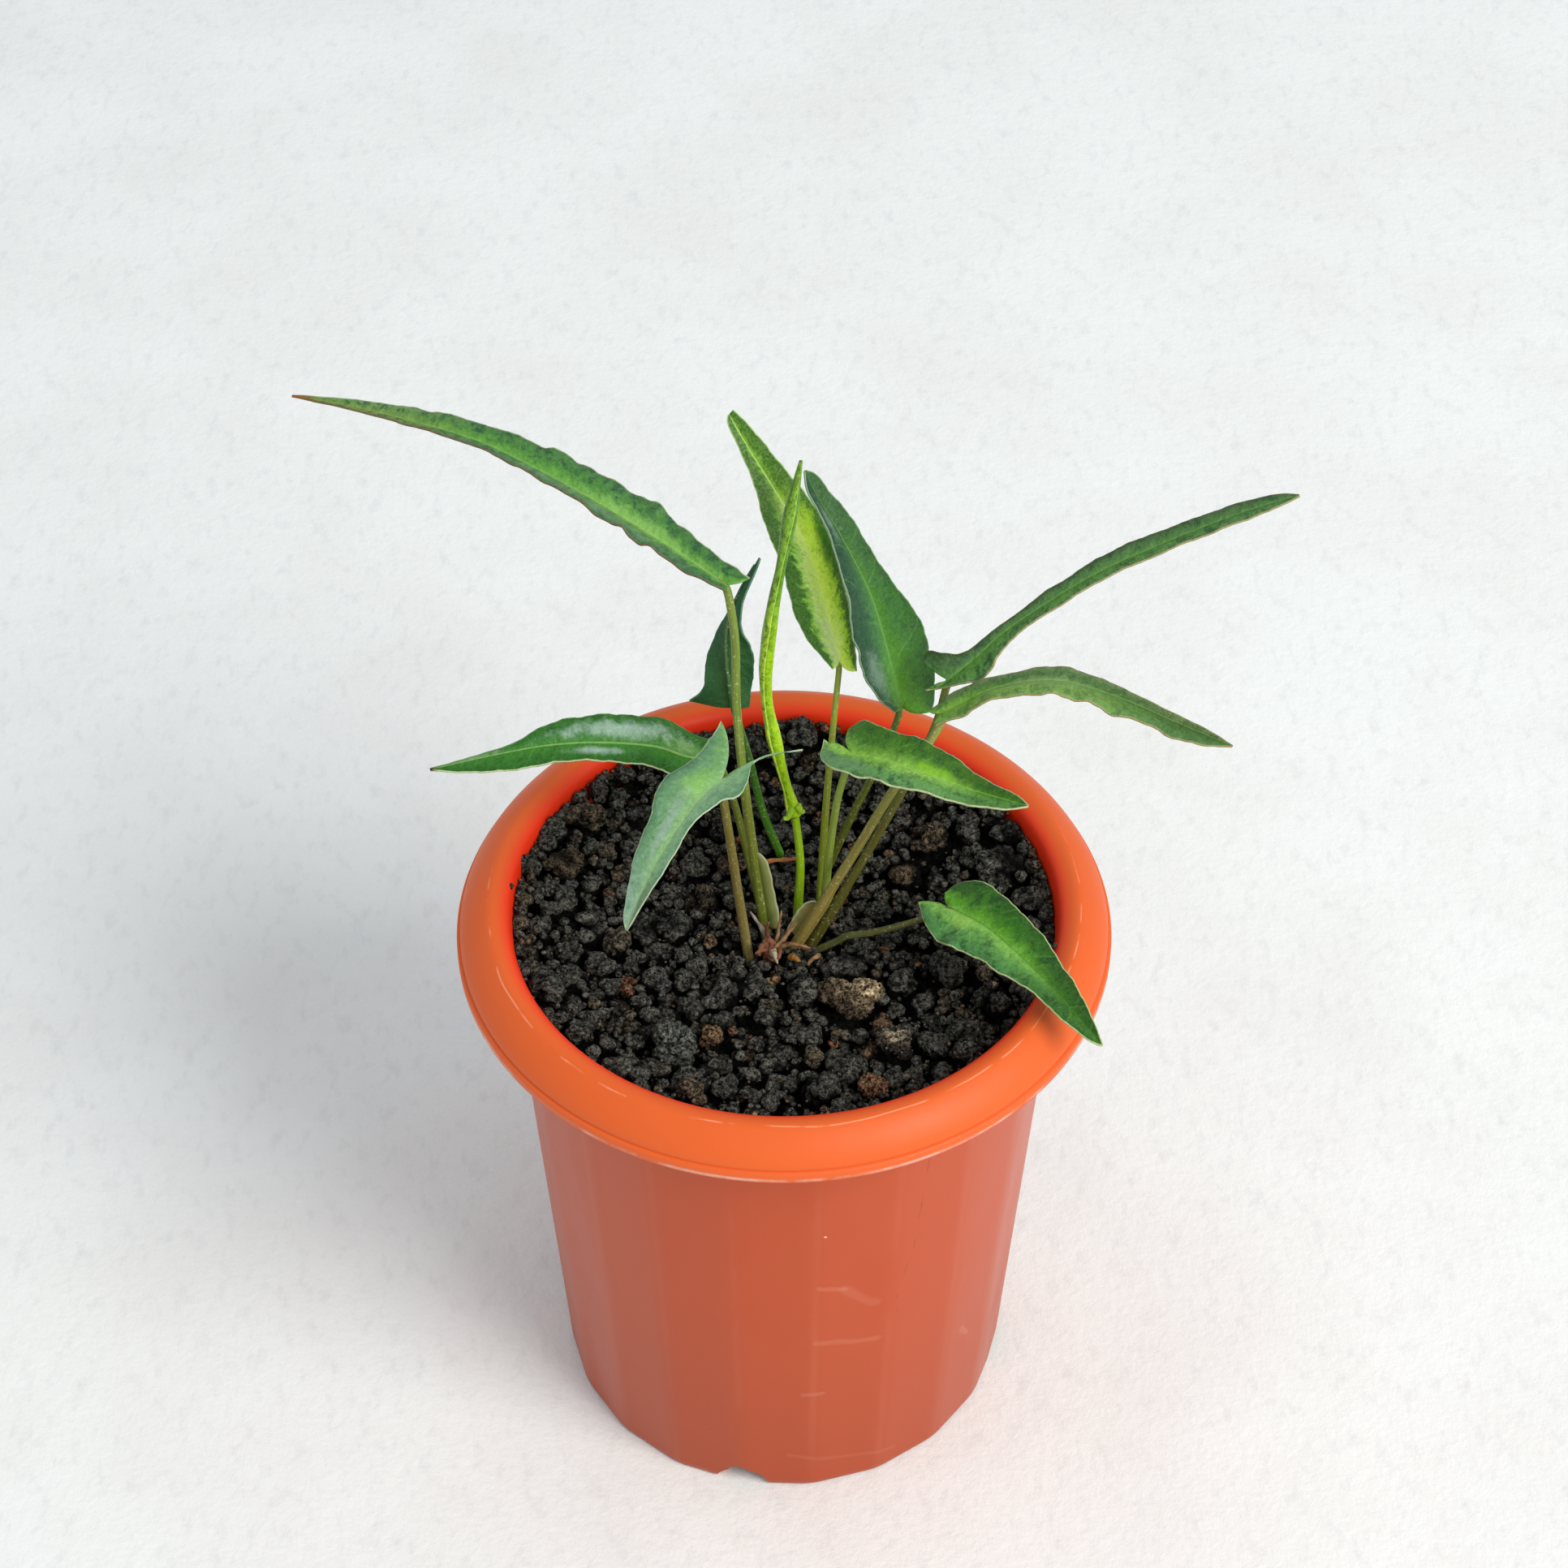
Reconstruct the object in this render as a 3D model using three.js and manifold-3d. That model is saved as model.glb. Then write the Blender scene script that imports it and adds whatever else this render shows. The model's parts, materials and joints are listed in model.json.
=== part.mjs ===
// Potted ribbon syngonium: a fluted plastic pot filled with volcanic grit, and an aroid with long
// ribbon and arrow leaves on thin petioles. Millimetres, +Z up, front towards -Y.
// The origin is the middle of the pot's foot, on the surface that it stands on.
import * as THREE from "three";
import { mergeVertices } from "three/addons/utils/BufferGeometryUtils.js";
import Module from "manifold-3d";

const wasm = await Module();
wasm.setup();

// Pot
const POT_HEIGHT = 163.5;
const RIM_RADIUS = 80.4;
const RIM_CREST_RADIUS = 72;
const LIP_RADIUS = 66.8;
const FLANGE_BOTTOM = 152.4;
const SHOULDER_RADIUS = 68.3;
const FOOT_RADIUS = 58;
const FOOT_CHAMFER = 1.5;
const WALL = 1.9;
const FLOOR = 2.6;
const FLUTES = 20;
const FLUTE_START = 7;
const SEGMENTS_PER_FLUTE = 3;
const FLUTE_FADE = 0.45;

// Drain notches, torn out where the wall meets the floor: outline points as [across, up]
const NOTCHES = 4;
const NOTCH_START = -11;
const NOTCH_DEPTH = 9;
const NOTCH_OUTLINE = [[-7.4, -1], [7, -1], [6.9, 0.4], [6, 3.1], [3.4, 5], [0, 6.2], [-2.4, 6], [-4.6, 3.6],
  [-7.4, 0.4]];

// Grit
const SOIL_LEVEL = 148;
const SOIL_SLOPE = 2.2;
const MOUND_AT = [3, 57];
const MOUND_HEIGHT = 5;
const MOUND_SPREAD = 180;
// How far the grit is banked up at the wall, as [degrees from the front towards +X, rise]
const BANK = [[-180, 4.5], [-150, 8], [-125, 8], [-100, 8.5], [-80, 7.5], [-45, 4.5], [0, 3.5], [45, 4],
  [75, 6], [95, 7], [125, 7], [150, 7], [180, 4.5]];
const BANK_REACH = [38, 65];
const CROWN_AT = [5, 6];
const CROWN_CALM = [10, 26];
const SOIL_RINGS = 15;
const SOIL_FULL_DEPTH = 60;
const GRAIN_COUNT = 420;
const LARGE_GRAINS = 12;
const LARGE_REACH = [18, 57];
const LARGE_SIZE = [6, 10.5];
const GRAIN_RADIUS = [2.2, 5.2];
const GRAIN_DOME = 0.8;
const CLEAR = 0.35;

// Blades and petioles
const BLADE = 0.7;
const ROW_STEP = 4.2;
const VEIN_SLANT = 0.35;
const LOBE_ROWS = 4;
const EDGE_SAMPLES = 300;
const WAVE_PHASE = 1.9;
const WAVE_MOST = 1.3;
const LIFT_BACK = 8;
const LIFT_SPAN = 10;
const LIFT_MOST = 1.5;
const BURIED = 9;
const PETIOLE_SIDES = 8;
const RING_STEP = 8.5;
const RIDGE_END = 0.2;
const RIDGE_RINGS = 4;
const SHEATH_WING = 0.8;
const ROLL_RINGS = 24;
const ROLL_SIDES = 8;
const ROLL_STEP = 0.24;

const FRONT = -Math.PI / 2;
const v3 = (p) => new THREE.Vector3(...p);
const v2 = (p) => new THREE.Vector2(...p);

// The same run of numbers each time, between 0 and 1
function seeded(seed) {
  let state = seed;
  return () => {
    state = (state * 1664525 + 1013904223) % 4294967296;
    return state / 4294967296;
  };
}

// Value at a place in a list of [place, value] entries, in a straight line from one to the next
function valueAt(entries, place) {
  const next = Math.max(entries.findIndex(([at]) => at >= place), 1);
  const [[from, low], [to, high]] = entries.slice(next - 1, next + 1);
  return THREE.MathUtils.mapLinear(place, from, to, low, high);
}

// A closed geometry as a solid, with shared corners merged and collapsed triangles dropped
function solidOf(geometry) {
  const bare = new THREE.BufferGeometry();
  bare.setAttribute("position", geometry.getAttribute("position"));
  if (geometry.index) bare.setIndex(geometry.index);
  const merged = mergeVertices(bare, 1e-4);
  const corners = merged.index.array;
  const kept = [];
  for (let i = 0; i < corners.length; i += 3) {
    const [a, b, c] = corners.subarray(i, i + 3);
    if (a !== b && b !== c && c !== a) kept.push(a, b, c);
  }
  return new wasm.Manifold(
    new wasm.Mesh({
      numProp: 3,
      vertProperties: Float32Array.from(merged.getAttribute("position").array),
      triVerts: Uint32Array.from(kept),
    }),
  );
}

// The one body that counts, with loose scraps dropped and any sealed hollow filled
function largest(solid) {
  return solid.decompose().sort((a, b) => b.volume() - a.volume())[0];
}

// A geometry from a list of points and a list of corner numbers
function geometryOf(points, corners) {
  const geometry = new THREE.BufferGeometry();
  const flat = points.flatMap((p) => [p.x, p.y, p.z]);
  geometry.setAttribute("position", new THREE.Float32BufferAttribute(flat, 3));
  geometry.setIndex(corners);
  return geometry;
}

// A solid as a named mesh
function meshOf(name, solid, material) {
  const { vertProperties, triVerts } = solid.getMesh();
  const geometry = new THREE.BufferGeometry();
  geometry.setAttribute("position", new THREE.BufferAttribute(Float32Array.from(vertProperties), 3));
  geometry.setIndex(new THREE.BufferAttribute(Uint32Array.from(triVerts), 1));
  geometry.computeVertexNormals();
  const mesh = new THREE.Mesh(geometry, material);
  mesh.name = name;
  return mesh;
}

// Radius factor of the fluted wall: flat between its corners, and rounder towards the rim
function flute(angle, z) {
  const pitch = (2 * Math.PI) / FLUTES;
  const turn = angle - FRONT - THREE.MathUtils.degToRad(FLUTE_START);
  const across = turn - pitch * Math.round(turn / pitch - 0.5) - pitch / 2;
  const flat = Math.cos(pitch / 2) / Math.cos(across);
  const depth = 1 - FLUTE_FADE * THREE.MathUtils.clamp(z / FLANGE_BOTTOM, 0, 1);
  return 1 - (1 - flat) * depth;
}

// Outer radius of the straight wall at a height
function wallRadius(z) {
  return THREE.MathUtils.lerp(FOOT_RADIUS, SHOULDER_RADIUS, z / FLANGE_BOTTOM);
}

// Rings of points round the axis, one for each profile point, joined into a closed skin
function turned(profile, segments, start, shape) {
  const points = [];
  const corners = [];
  profile.forEach(([radius, z]) => {
    for (let i = 0; i < segments; i += 1) {
      const angle = start + (2 * Math.PI * i) / segments;
      const r = radius * shape(angle, z, radius);
      points.push(new THREE.Vector3(r * Math.cos(angle), r * Math.sin(angle), z));
    }
  });
  for (let ring = 0; ring + 1 < profile.length; ring += 1) {
    for (let i = 0; i < segments; i += 1) {
      const a = ring * segments + i;
      const b = ring * segments + ((i + 1) % segments);
      corners.push(a, b, b + segments, a, b + segments, a + segments);
    }
  }
  return geometryOf(points, corners);
}

const FLUTE_TURN = FRONT + THREE.MathUtils.degToRad(FLUTE_START);

function pot() {
  const inner = (z) => wallRadius(z) - WALL;
  const profile = [
    [0, 0],
    [FOOT_RADIUS - FOOT_CHAMFER, 0],
    [wallRadius(FOOT_CHAMFER), FOOT_CHAMFER],
    [SHOULDER_RADIUS, FLANGE_BOTTOM],
    [SHOULDER_RADIUS + 0.9, 158.2],
    [RIM_CREST_RADIUS + 0.6, 161],
    [RIM_RADIUS - 3.1, 157],
    [RIM_RADIUS - 1.8, FLANGE_BOTTOM],
    [RIM_RADIUS, FLANGE_BOTTOM],
    [RIM_RADIUS, 155.3],
    [RIM_RADIUS - 0.9, 155.7],
    [RIM_RADIUS - 0.9, 156.7],
    [RIM_RADIUS - 1.8, 158.5],
    [RIM_RADIUS - 3.8, 160.8],
    [RIM_CREST_RADIUS + 2.1, 162.6],
    [RIM_CREST_RADIUS, POT_HEIGHT],
    [LIP_RADIUS + 3.1, 163.1],
    [LIP_RADIUS + 1.1, 162],
    [LIP_RADIUS + 0.1, 160.2],
    [LIP_RADIUS - 0.3, 157],
    [inner(140), 140],
    [inner(FLOOR + 2), FLOOR + 2],
    [inner(FLOOR) - 1.2, FLOOR],
    [0, FLOOR],
  ];
  const shape = (angle, z, radius) => {
    const onWall = z <= FLANGE_BOTTOM && radius < SHOULDER_RADIUS + 0.1;
    return onWall ? flute(angle, z) : 1;
  };
  let solid = solidOf(turned(profile, FLUTES * SEGMENTS_PER_FLUTE, FLUTE_TURN, shape));
  for (let i = 0; i < NOTCHES; i += 1) solid = solid.subtract(notch(i));
  return solid;
}

// A drain notch: an uneven arch, cut from outside through the wall and the edge of the floor
function notch(i) {
  const cut = new THREE.ExtrudeGeometry(new THREE.Shape(NOTCH_OUTLINE.map(v2)), {
    depth: 2 * NOTCH_DEPTH,
    bevelEnabled: false,
  });
  cut.rotateX(Math.PI / 2);
  cut.translate(0, NOTCH_DEPTH - FOOT_RADIUS, 0);
  cut.rotateZ(THREE.MathUtils.degToRad(NOTCH_START) + (2 * Math.PI * i) / NOTCHES);
  return solidOf(cut);
}

// A rough stone: a twenty-sided block with its corners pushed in and out
function stone({ at, size, seed, turn = 0, detail = 1 }, grow = 0) {
  const random = seeded(seed);
  const ball = mergeVertices(bareCopy(new THREE.IcosahedronGeometry(1, detail)), 1e-4);
  const place = ball.getAttribute("position");
  for (let i = 0; i < place.count; i += 1) {
    const push = 0.86 + 0.28 * random();
    const [x, y, z] = [place.getX(i), place.getY(i), place.getZ(i)].map((c, k) => {
      return c * (push * (size[k] / 2) + grow);
    });
    place.setXYZ(i, x, y, z);
  }
  ball.rotateZ(THREE.MathUtils.degToRad(turn));
  ball.translate(...at);
  return solidOf(ball);
}

function bareCopy(geometry) {
  const bare = new THREE.BufferGeometry();
  bare.setAttribute("position", geometry.getAttribute("position"));
  if (geometry.index) bare.setIndex(geometry.index);
  return bare;
}

// Stones that lie on the grit in a colour or size of their own
const STONES = [
  { name: "stone_brown_large", at: [16.6, -20.8, 150.5], size: [17, 12, 9], seed: 5, turn: 18 },
  { name: "stone_brown_small", at: [26.5, -36, 150.5], size: [9, 8, 7], seed: 9, turn: 40 },
  { name: "stone_brown_front", at: [21, -49, 150], size: [8, 7, 6.5], seed: 12, turn: 0 },
  { name: "stone_dark_large", at: [-26.5, -35.5, 150.5], size: [13, 12, 10], seed: 21, turn: 30 },
];

// Rise of the grit near the wall
function bankRise(x, y) {
  const turn = THREE.MathUtils.radToDeg(Math.atan2(x, -y));
  return valueAt(BANK, turn) * THREE.MathUtils.smoothstep(Math.hypot(x, y), ...BANK_REACH);
}

// Height of the grit: the tops of seeded round grains, with a mound at the back and a calm middle
function soilHeight(x, y, grains) {
  const far = Math.hypot(x - CROWN_AT[0], y - CROWN_AT[1]);
  const calm = THREE.MathUtils.smoothstep(far, ...CROWN_CALM);
  const away = (x - MOUND_AT[0]) ** 2 + (y - MOUND_AT[1]) ** 2;
  const mound = MOUND_HEIGHT * Math.exp(-away / MOUND_SPREAD);
  const slope = SOIL_SLOPE * (y / SHOULDER_RADIUS);
  let top = 0;
  grains.forEach(([gx, gy, gr, lift]) => {
    const gap = Math.hypot(x - gx, y - gy) / gr;
    if (gap < 1) top = Math.max(top, lift + gr * GRAIN_DOME * Math.sqrt(1 - gap * gap));
  });
  return SOIL_LEVEL + slope + mound + bankRise(x, y) + (0.35 + 0.65 * calm) * top;
}

function soil(cuts) {
  const random = seeded(31);
  const grains = Array.from({ length: GRAIN_COUNT }, () => {
    const angle = 2 * Math.PI * random();
    const reach = (LIP_RADIUS - 3) * Math.sqrt(random());
    const radius = THREE.MathUtils.lerp(...GRAIN_RADIUS, random() ** 2);
    return [reach * Math.cos(angle), reach * Math.sin(angle), radius, 1.2 * random() - 0.4];
  });
  const points = [];
  const corners = [];
  const starts = [];
  const bore = (z) => wallRadius(z) - WALL - CLEAR;
  for (let ring = 0; ring <= SOIL_RINGS; ring += 1) {
    starts.push(points.length);
    const count = Math.max(6 * ring, 1);
    for (let i = 0; i < count; i += 1) {
      const angle = FLUTE_TURN + (2 * Math.PI * i) / count;
      const edge = bore(SOIL_LEVEL) * flute(angle, SOIL_LEVEL);
      const inside = ring > 0 && ring < SOIL_RINGS;
      const radius = (edge * ring) / SOIL_RINGS + (inside ? 1.2 * random() - 0.6 : 0);
      const x = radius * Math.cos(angle);
      const y = radius * Math.sin(angle);
      const z = soilHeight(x, y, ring === SOIL_RINGS ? [] : grains);
      points.push(new THREE.Vector3(x, y, z));
    }
  }
  for (let ring = 1; ring <= SOIL_RINGS; ring += 1) {
    for (let sector = 0; sector < 6; sector += 1) {
      for (let i = 0; i < ring; i += 1) {
        const outer = starts[ring] + ((sector * ring + i) % (6 * ring));
        const next = starts[ring] + ((sector * ring + i + 1) % (6 * ring));
        const back = Math.max(6 * (ring - 1), 1);
        const inner = starts[ring - 1] + ((sector * (ring - 1) + i) % back);
        corners.push(inner, outer, next);
        if (i === ring - 1) continue;
        const innerNext = starts[ring - 1] + ((sector * (ring - 1) + i + 1) % back);
        corners.push(inner, next, innerNext);
      }
    }
  }
  // Side and underside, down to the floor of the pot
  const around = 6 * SOIL_RINGS;
  const levels = [SOIL_FULL_DEPTH, FLOOR + 2 + CLEAR, FLOOR + CLEAR];
  const insets = [0, 0, 1.4];
  levels.forEach((z, k) => {
    const upper = k === 0 ? starts[SOIL_RINGS] : points.length - around;
    const lower = points.length;
    for (let i = 0; i < around; i += 1) {
      const angle = FLUTE_TURN + (2 * Math.PI * i) / around;
      const radius = (bore(z) - insets[k]) * flute(angle, z);
      points.push(new THREE.Vector3(radius * Math.cos(angle), radius * Math.sin(angle), z));
    }
    for (let i = 0; i < around; i += 1) {
      const next = (i + 1) % around;
      corners.push(upper + i, lower + i, lower + next, upper + i, lower + next, upper + next);
    }
  });
  const rim = points.length - around;
  points.push(new THREE.Vector3(0, 0, FLOOR + CLEAR));
  for (let i = 0; i < around; i += 1) {
    corners.push(points.length - 1, rim + ((i + 1) % around), rim + i);
  }
  let solid = solidOf(geometryOf(points, corners));
  // Larger grains stand out of the surface
  for (let i = 0; i < LARGE_GRAINS; i += 1) {
    const angle = 2 * Math.PI * random();
    const reach = THREE.MathUtils.lerp(...LARGE_REACH, Math.sqrt(random()));
    const size = THREE.MathUtils.lerp(...LARGE_SIZE, random());
    const at = [reach * Math.cos(angle), reach * Math.sin(angle)];
    const level = soilHeight(...at, []) + 1.6;
    const sides = [size, size * 0.85, size * 0.8];
    solid = solid.add(stone({ at: [...at, level], size: sides, seed: 40 + i, detail: 0 }));
  }
  cuts.forEach((cut) => {
    solid = solid.subtract(cut);
  });
  return largest(solid);
}

// A closed tube along part of a curve, whose section can change along it and round it
function sweep(curve, { from = 0, to = 1, rings, sides = PETIOLE_SIDES, radiusAt, overrun = 0 }) {
  const points = [];
  const corners = [];
  const ends = [];
  for (let ring = 0; ring <= rings; ring += 1) {
    const u = THREE.MathUtils.lerp(from, to, ring / rings);
    const along = curve.getTangentAt(u);
    const centre = curve.getPointAt(u);
    if (ring === 0) centre.addScaledVector(along, -overrun);
    if (ring === 0 || ring === rings) ends.push(centre);
    const side = new THREE.Vector3(0, 1, 0).addScaledVector(along, -along.y).normalize();
    const other = along.clone().cross(side);
    for (let i = 0; i < sides; i += 1) {
      const angle = (2 * Math.PI * i) / sides;
      const r = radiusAt(u, angle);
      const point = centre.clone().addScaledVector(side, r * Math.cos(angle));
      points.push(point.addScaledVector(other, r * Math.sin(angle)));
    }
  }
  for (let ring = 0; ring < rings; ring += 1) {
    for (let i = 0; i < sides; i += 1) {
      const a = ring * sides + i;
      const b = ring * sides + ((i + 1) % sides);
      corners.push(a, b, b + sides, a, b + sides, a + sides);
    }
  }
  points.push(...ends);
  const first = points.length - 2;
  const last = points.length - 1;
  for (let i = 0; i < sides; i += 1) {
    const next = (i + 1) % sides;
    corners.push(first, next, i, last, rings * sides + i, rings * sides + next);
  }
  return solidOf(geometryOf(points, corners));
}

// A surface given the blade's thickness, split alike on both faces and closed along its edges
function thicken(points, corners) {
  const normals = points.map(() => new THREE.Vector3());
  const edges = new Map();
  for (let i = 0; i < corners.length; i += 3) {
    const tri = corners.slice(i, i + 3);
    const [a, b, c] = tri.map((k) => points[k]);
    const normal = b.clone().sub(a).cross(c.clone().sub(a));
    tri.forEach((k, n) => {
      normals[k].add(normal);
      edges.set(k + ">" + tri[(n + 1) % 3], [k, tri[(n + 1) % 3]]);
    });
  }
  normals.forEach((n) => n.normalize());
  const count = points.length;
  const both = [
    ...points.map((p, i) => p.clone().addScaledVector(normals[i], BLADE / 2)),
    ...points.map((p, i) => p.clone().addScaledVector(normals[i], -BLADE / 2)),
  ];
  const skin = [...corners];
  for (let i = 0; i < corners.length; i += 3) {
    skin.push(corners[i + 2] + count, corners[i + 1] + count, corners[i] + count);
  }
  edges.forEach(([a, b]) => {
    if (edges.has(b + ">" + a)) return;
    skin.push(b, a, a + count, b, a + count, b + count);
  });
  return solidOf(geometryOf(both, skin));
}

// Where a point of the flat leaf lies once the blade is bent along its midrib, rolled and folded:
// x is across the blade, to the right with the upper face up, and y is along the midrib
function bladePoint(leaf, rib, x, y) {
  const length = rib.getLength();
  const u = THREE.MathUtils.clamp(y / length, 0, 1);
  const along = rib.getTangentAt(u);
  const up = new THREE.Vector3(0, 0, 1).addScaledVector(along, -along.z).normalize();
  const roll = THREE.MathUtils.degToRad(THREE.MathUtils.lerp(...leaf.roll, u));
  up.applyAxisAngle(along, roll);
  const right = along.clone().cross(up);
  const fold = THREE.MathUtils.degToRad(THREE.MathUtils.lerp(...leaf.fold, u));
  const across = Math.abs(x);
  const [swing, pitch] = leaf.wave;
  const share = Math.min(across / leaf.halfWidth, WAVE_MOST);
  const turn = (2 * Math.PI * y) / pitch + (x > 0 ? WAVE_PHASE : 0);
  const wave = swing * share * share * Math.sin(turn);
  const back = THREE.MathUtils.clamp(1 - y / LIFT_BACK, 0, 1);
  const reach = Math.min(Math.hypot(x, y) / LIFT_SPAN, LIFT_MOST);
  const lift = leaf.lift[x > 0 ? 1 : 0] * back * reach * reach;
  const point = rib.getPointAt(u).addScaledVector(along, y - u * length);
  point.addScaledVector(right, x * Math.cos(fold));
  return point.addScaledVector(up, across * Math.sin(fold) + wave + lift);
}

// One half of the flat leaf, as rows from its inner to its outer edge. The outline runs from the
// tip of the lobe to the tip of the leaf; the inner edge is the lobe's inside and then the midrib
function halfRows(outline, heel, stations) {
  const edge = new THREE.SplineCurve(outline.map(v2));
  const samples = edge.getSpacedPoints(EDGE_SAMPLES);
  const inward = (p) => p.y - VEIN_SLANT * p.x;
  const tip = samples[0];
  const notchEdge = new THREE.QuadraticBezierCurve(tip, v2(heel), new THREE.Vector2(0, 0));
  const cross = samples.findIndex((p, i) => i > 10 && inward(p) >= 0);
  const rows = [];
  for (let i = 0; i < LOBE_ROWS; i += 1) {
    const q = i / LOBE_ROWS;
    rows.push([notchEdge.getPoint(q), samples[Math.round(cross * q)]]);
  }
  stations.forEach((y) => {
    const found = samples.findIndex((p, i) => i >= cross && inward(p) >= y);
    rows.push([new THREE.Vector2(0, y), samples[found < 0 ? samples.length - 1 : found]]);
  });
  return rows;
}

// The blade: both halves as one surface that shares the midrib, then thickened
function blade(leaf, rib) {
  const length = rib.getLength();
  const count = Math.round(length / ROW_STEP);
  const stations = Array.from({ length: count + 1 }, (_, i) => (length * i) / count);
  const points = [];
  const corners = [];
  const onRib = [];
  [-1, 1].forEach((side) => {
    const outline = side < 0 ? leaf.left : leaf.right;
    const heel = side < 0 ? leaf.heels[0] : leaf.heels[1];
    const rows = halfRows([...outline, [0.3, length]], heel, stations);
    const grid = rows.map(([inner, outer], row) => {
      return [0, 0.5, 1].map((share) => {
        const station = row - LOBE_ROWS;
        if (share === 0 && station >= 0 && onRib[station] !== undefined) return onRib[station];
        const flat = inner.clone().lerp(outer, share);
        points.push(bladePoint(leaf, rib, side * flat.x, flat.y));
        if (share === 0 && station >= 0) onRib[station] = points.length - 1;
        return points.length - 1;
      });
    });
    for (let row = 0; row + 1 < grid.length; row += 1) {
      for (let col = 0; col < 2; col += 1) {
        const [a, b] = [grid[row][col], grid[row][col + 1]];
        const [c, d] = [grid[row + 1][col + 1], grid[row + 1][col]];
        const quad = [a, b, c, a, c, d];
        corners.push(...(side > 0 ? quad : quad.reverse()));
      }
    }
  });
  return thicken(...weld(points, corners));
}

// Points that fall on one place become one point, and triangles that collapse are dropped
function weld(points, corners) {
  const kept = [];
  const number = new Map();
  const moved = points.map((p) => {
    const key = p.toArray().map((c) => c.toFixed(3)).join(" ");
    if (!number.has(key)) number.set(key, kept.push(p) - 1);
    return number.get(key);
  });
  const left = [];
  for (let i = 0; i < corners.length; i += 3) {
    const [a, b, c] = corners.slice(i, i + 3).map((k) => moved[k]);
    if (a !== b && b !== c && c !== a) left.push(a, b, c);
  }
  return [kept, left];
}

const spline = (points) => new THREE.CatmullRomCurve3(points.map(v3), false, "catmullrom", 0.5);

// The petiole's path, with its buried foot
function petiolePath(leaf) {
  const [ground, next] = leaf.petiole.map(v3);
  const away = (leaf.foot ? v3(leaf.foot) : ground.clone().sub(next)).normalize();
  const foot = ground.clone().addScaledVector(away, BURIED).toArray();
  return spline([foot, ...leaf.petiole, leaf.midrib[0]]);
}

// Petiole radius: tapering upwards, with a sheath's wing low down on the side that the leaf names
function petioleRadius(leaf, length, grow) {
  const [low, high] = leaf.thick;
  return (u, angle) => {
    const height = u * length - BURIED;
    const plain = THREE.MathUtils.lerp(low, high, THREE.MathUtils.smoothstep(u, 0, 1));
    if (!leaf.sheath) return plain + grow;
    const [facing, tall] = leaf.sheath;
    const near = Math.max(Math.cos(angle - THREE.MathUtils.degToRad(facing)), 0) ** 2;
    const wing = SHEATH_WING * near * (1 - THREE.MathUtils.smoothstep(height, tall * 0.6, tall));
    return plain + grow + wing;
  };
}

function petiole(leaf, grow = 0) {
  const path = petiolePath(leaf);
  const length = path.getLength();
  const radiusAt = petioleRadius(leaf, length, grow);
  const to = grow ? Math.min((BURIED + 9) / length, 1) : 1;
  const rings = Math.ceil((to * length) / (leaf.ringStep ?? RING_STEP));
  return sweep(path, { to, rings, radiusAt, overrun: grow });
}

// The leaf: petiole, a ridge under the midrib, a knuckle where they meet, and the blade
function leafSolid(leaf) {
  const rib = spline(leaf.midrib);
  const high = leaf.thick[1];
  const knuckle = new THREE.IcosahedronGeometry(high * 1.05, 1);
  knuckle.translate(...leaf.midrib[0]);
  const ridge = sweep(rib, {
    to: RIDGE_END,
    rings: RIDGE_RINGS,
    sides: 6,
    radiusAt: (u) => THREE.MathUtils.lerp(high * 0.85, 0.4, Math.sqrt(u / RIDGE_END)),
  });
  return petiole(leaf).add(solidOf(knuckle)).add(ridge).add(blade(leaf, rib));
}

// The young leaf, still rolled round itself: a spiral section that swells and narrows, with two
// small hooked lobes at its base
function rolledLeafSolid(leaf) {
  const rib = spline(leaf.midrib);
  const roll = sweep(rib, {
    rings: ROLL_RINGS,
    sides: ROLL_SIDES,
    radiusAt: (u, angle) => valueAt(leaf.girth, u) * (1 + ROLL_STEP * (angle / (2 * Math.PI) - 0.5)),
  });
  let solid = petiole(leaf).add(roll);
  leaf.hooks.forEach((hook) => {
    const path = spline(hook);
    solid = solid.add(sweep(path, { rings: 3, sides: 6, radiusAt: (u) => 0.8 - 0.5 * u }));
  });
  return largest(solid);
}

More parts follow.
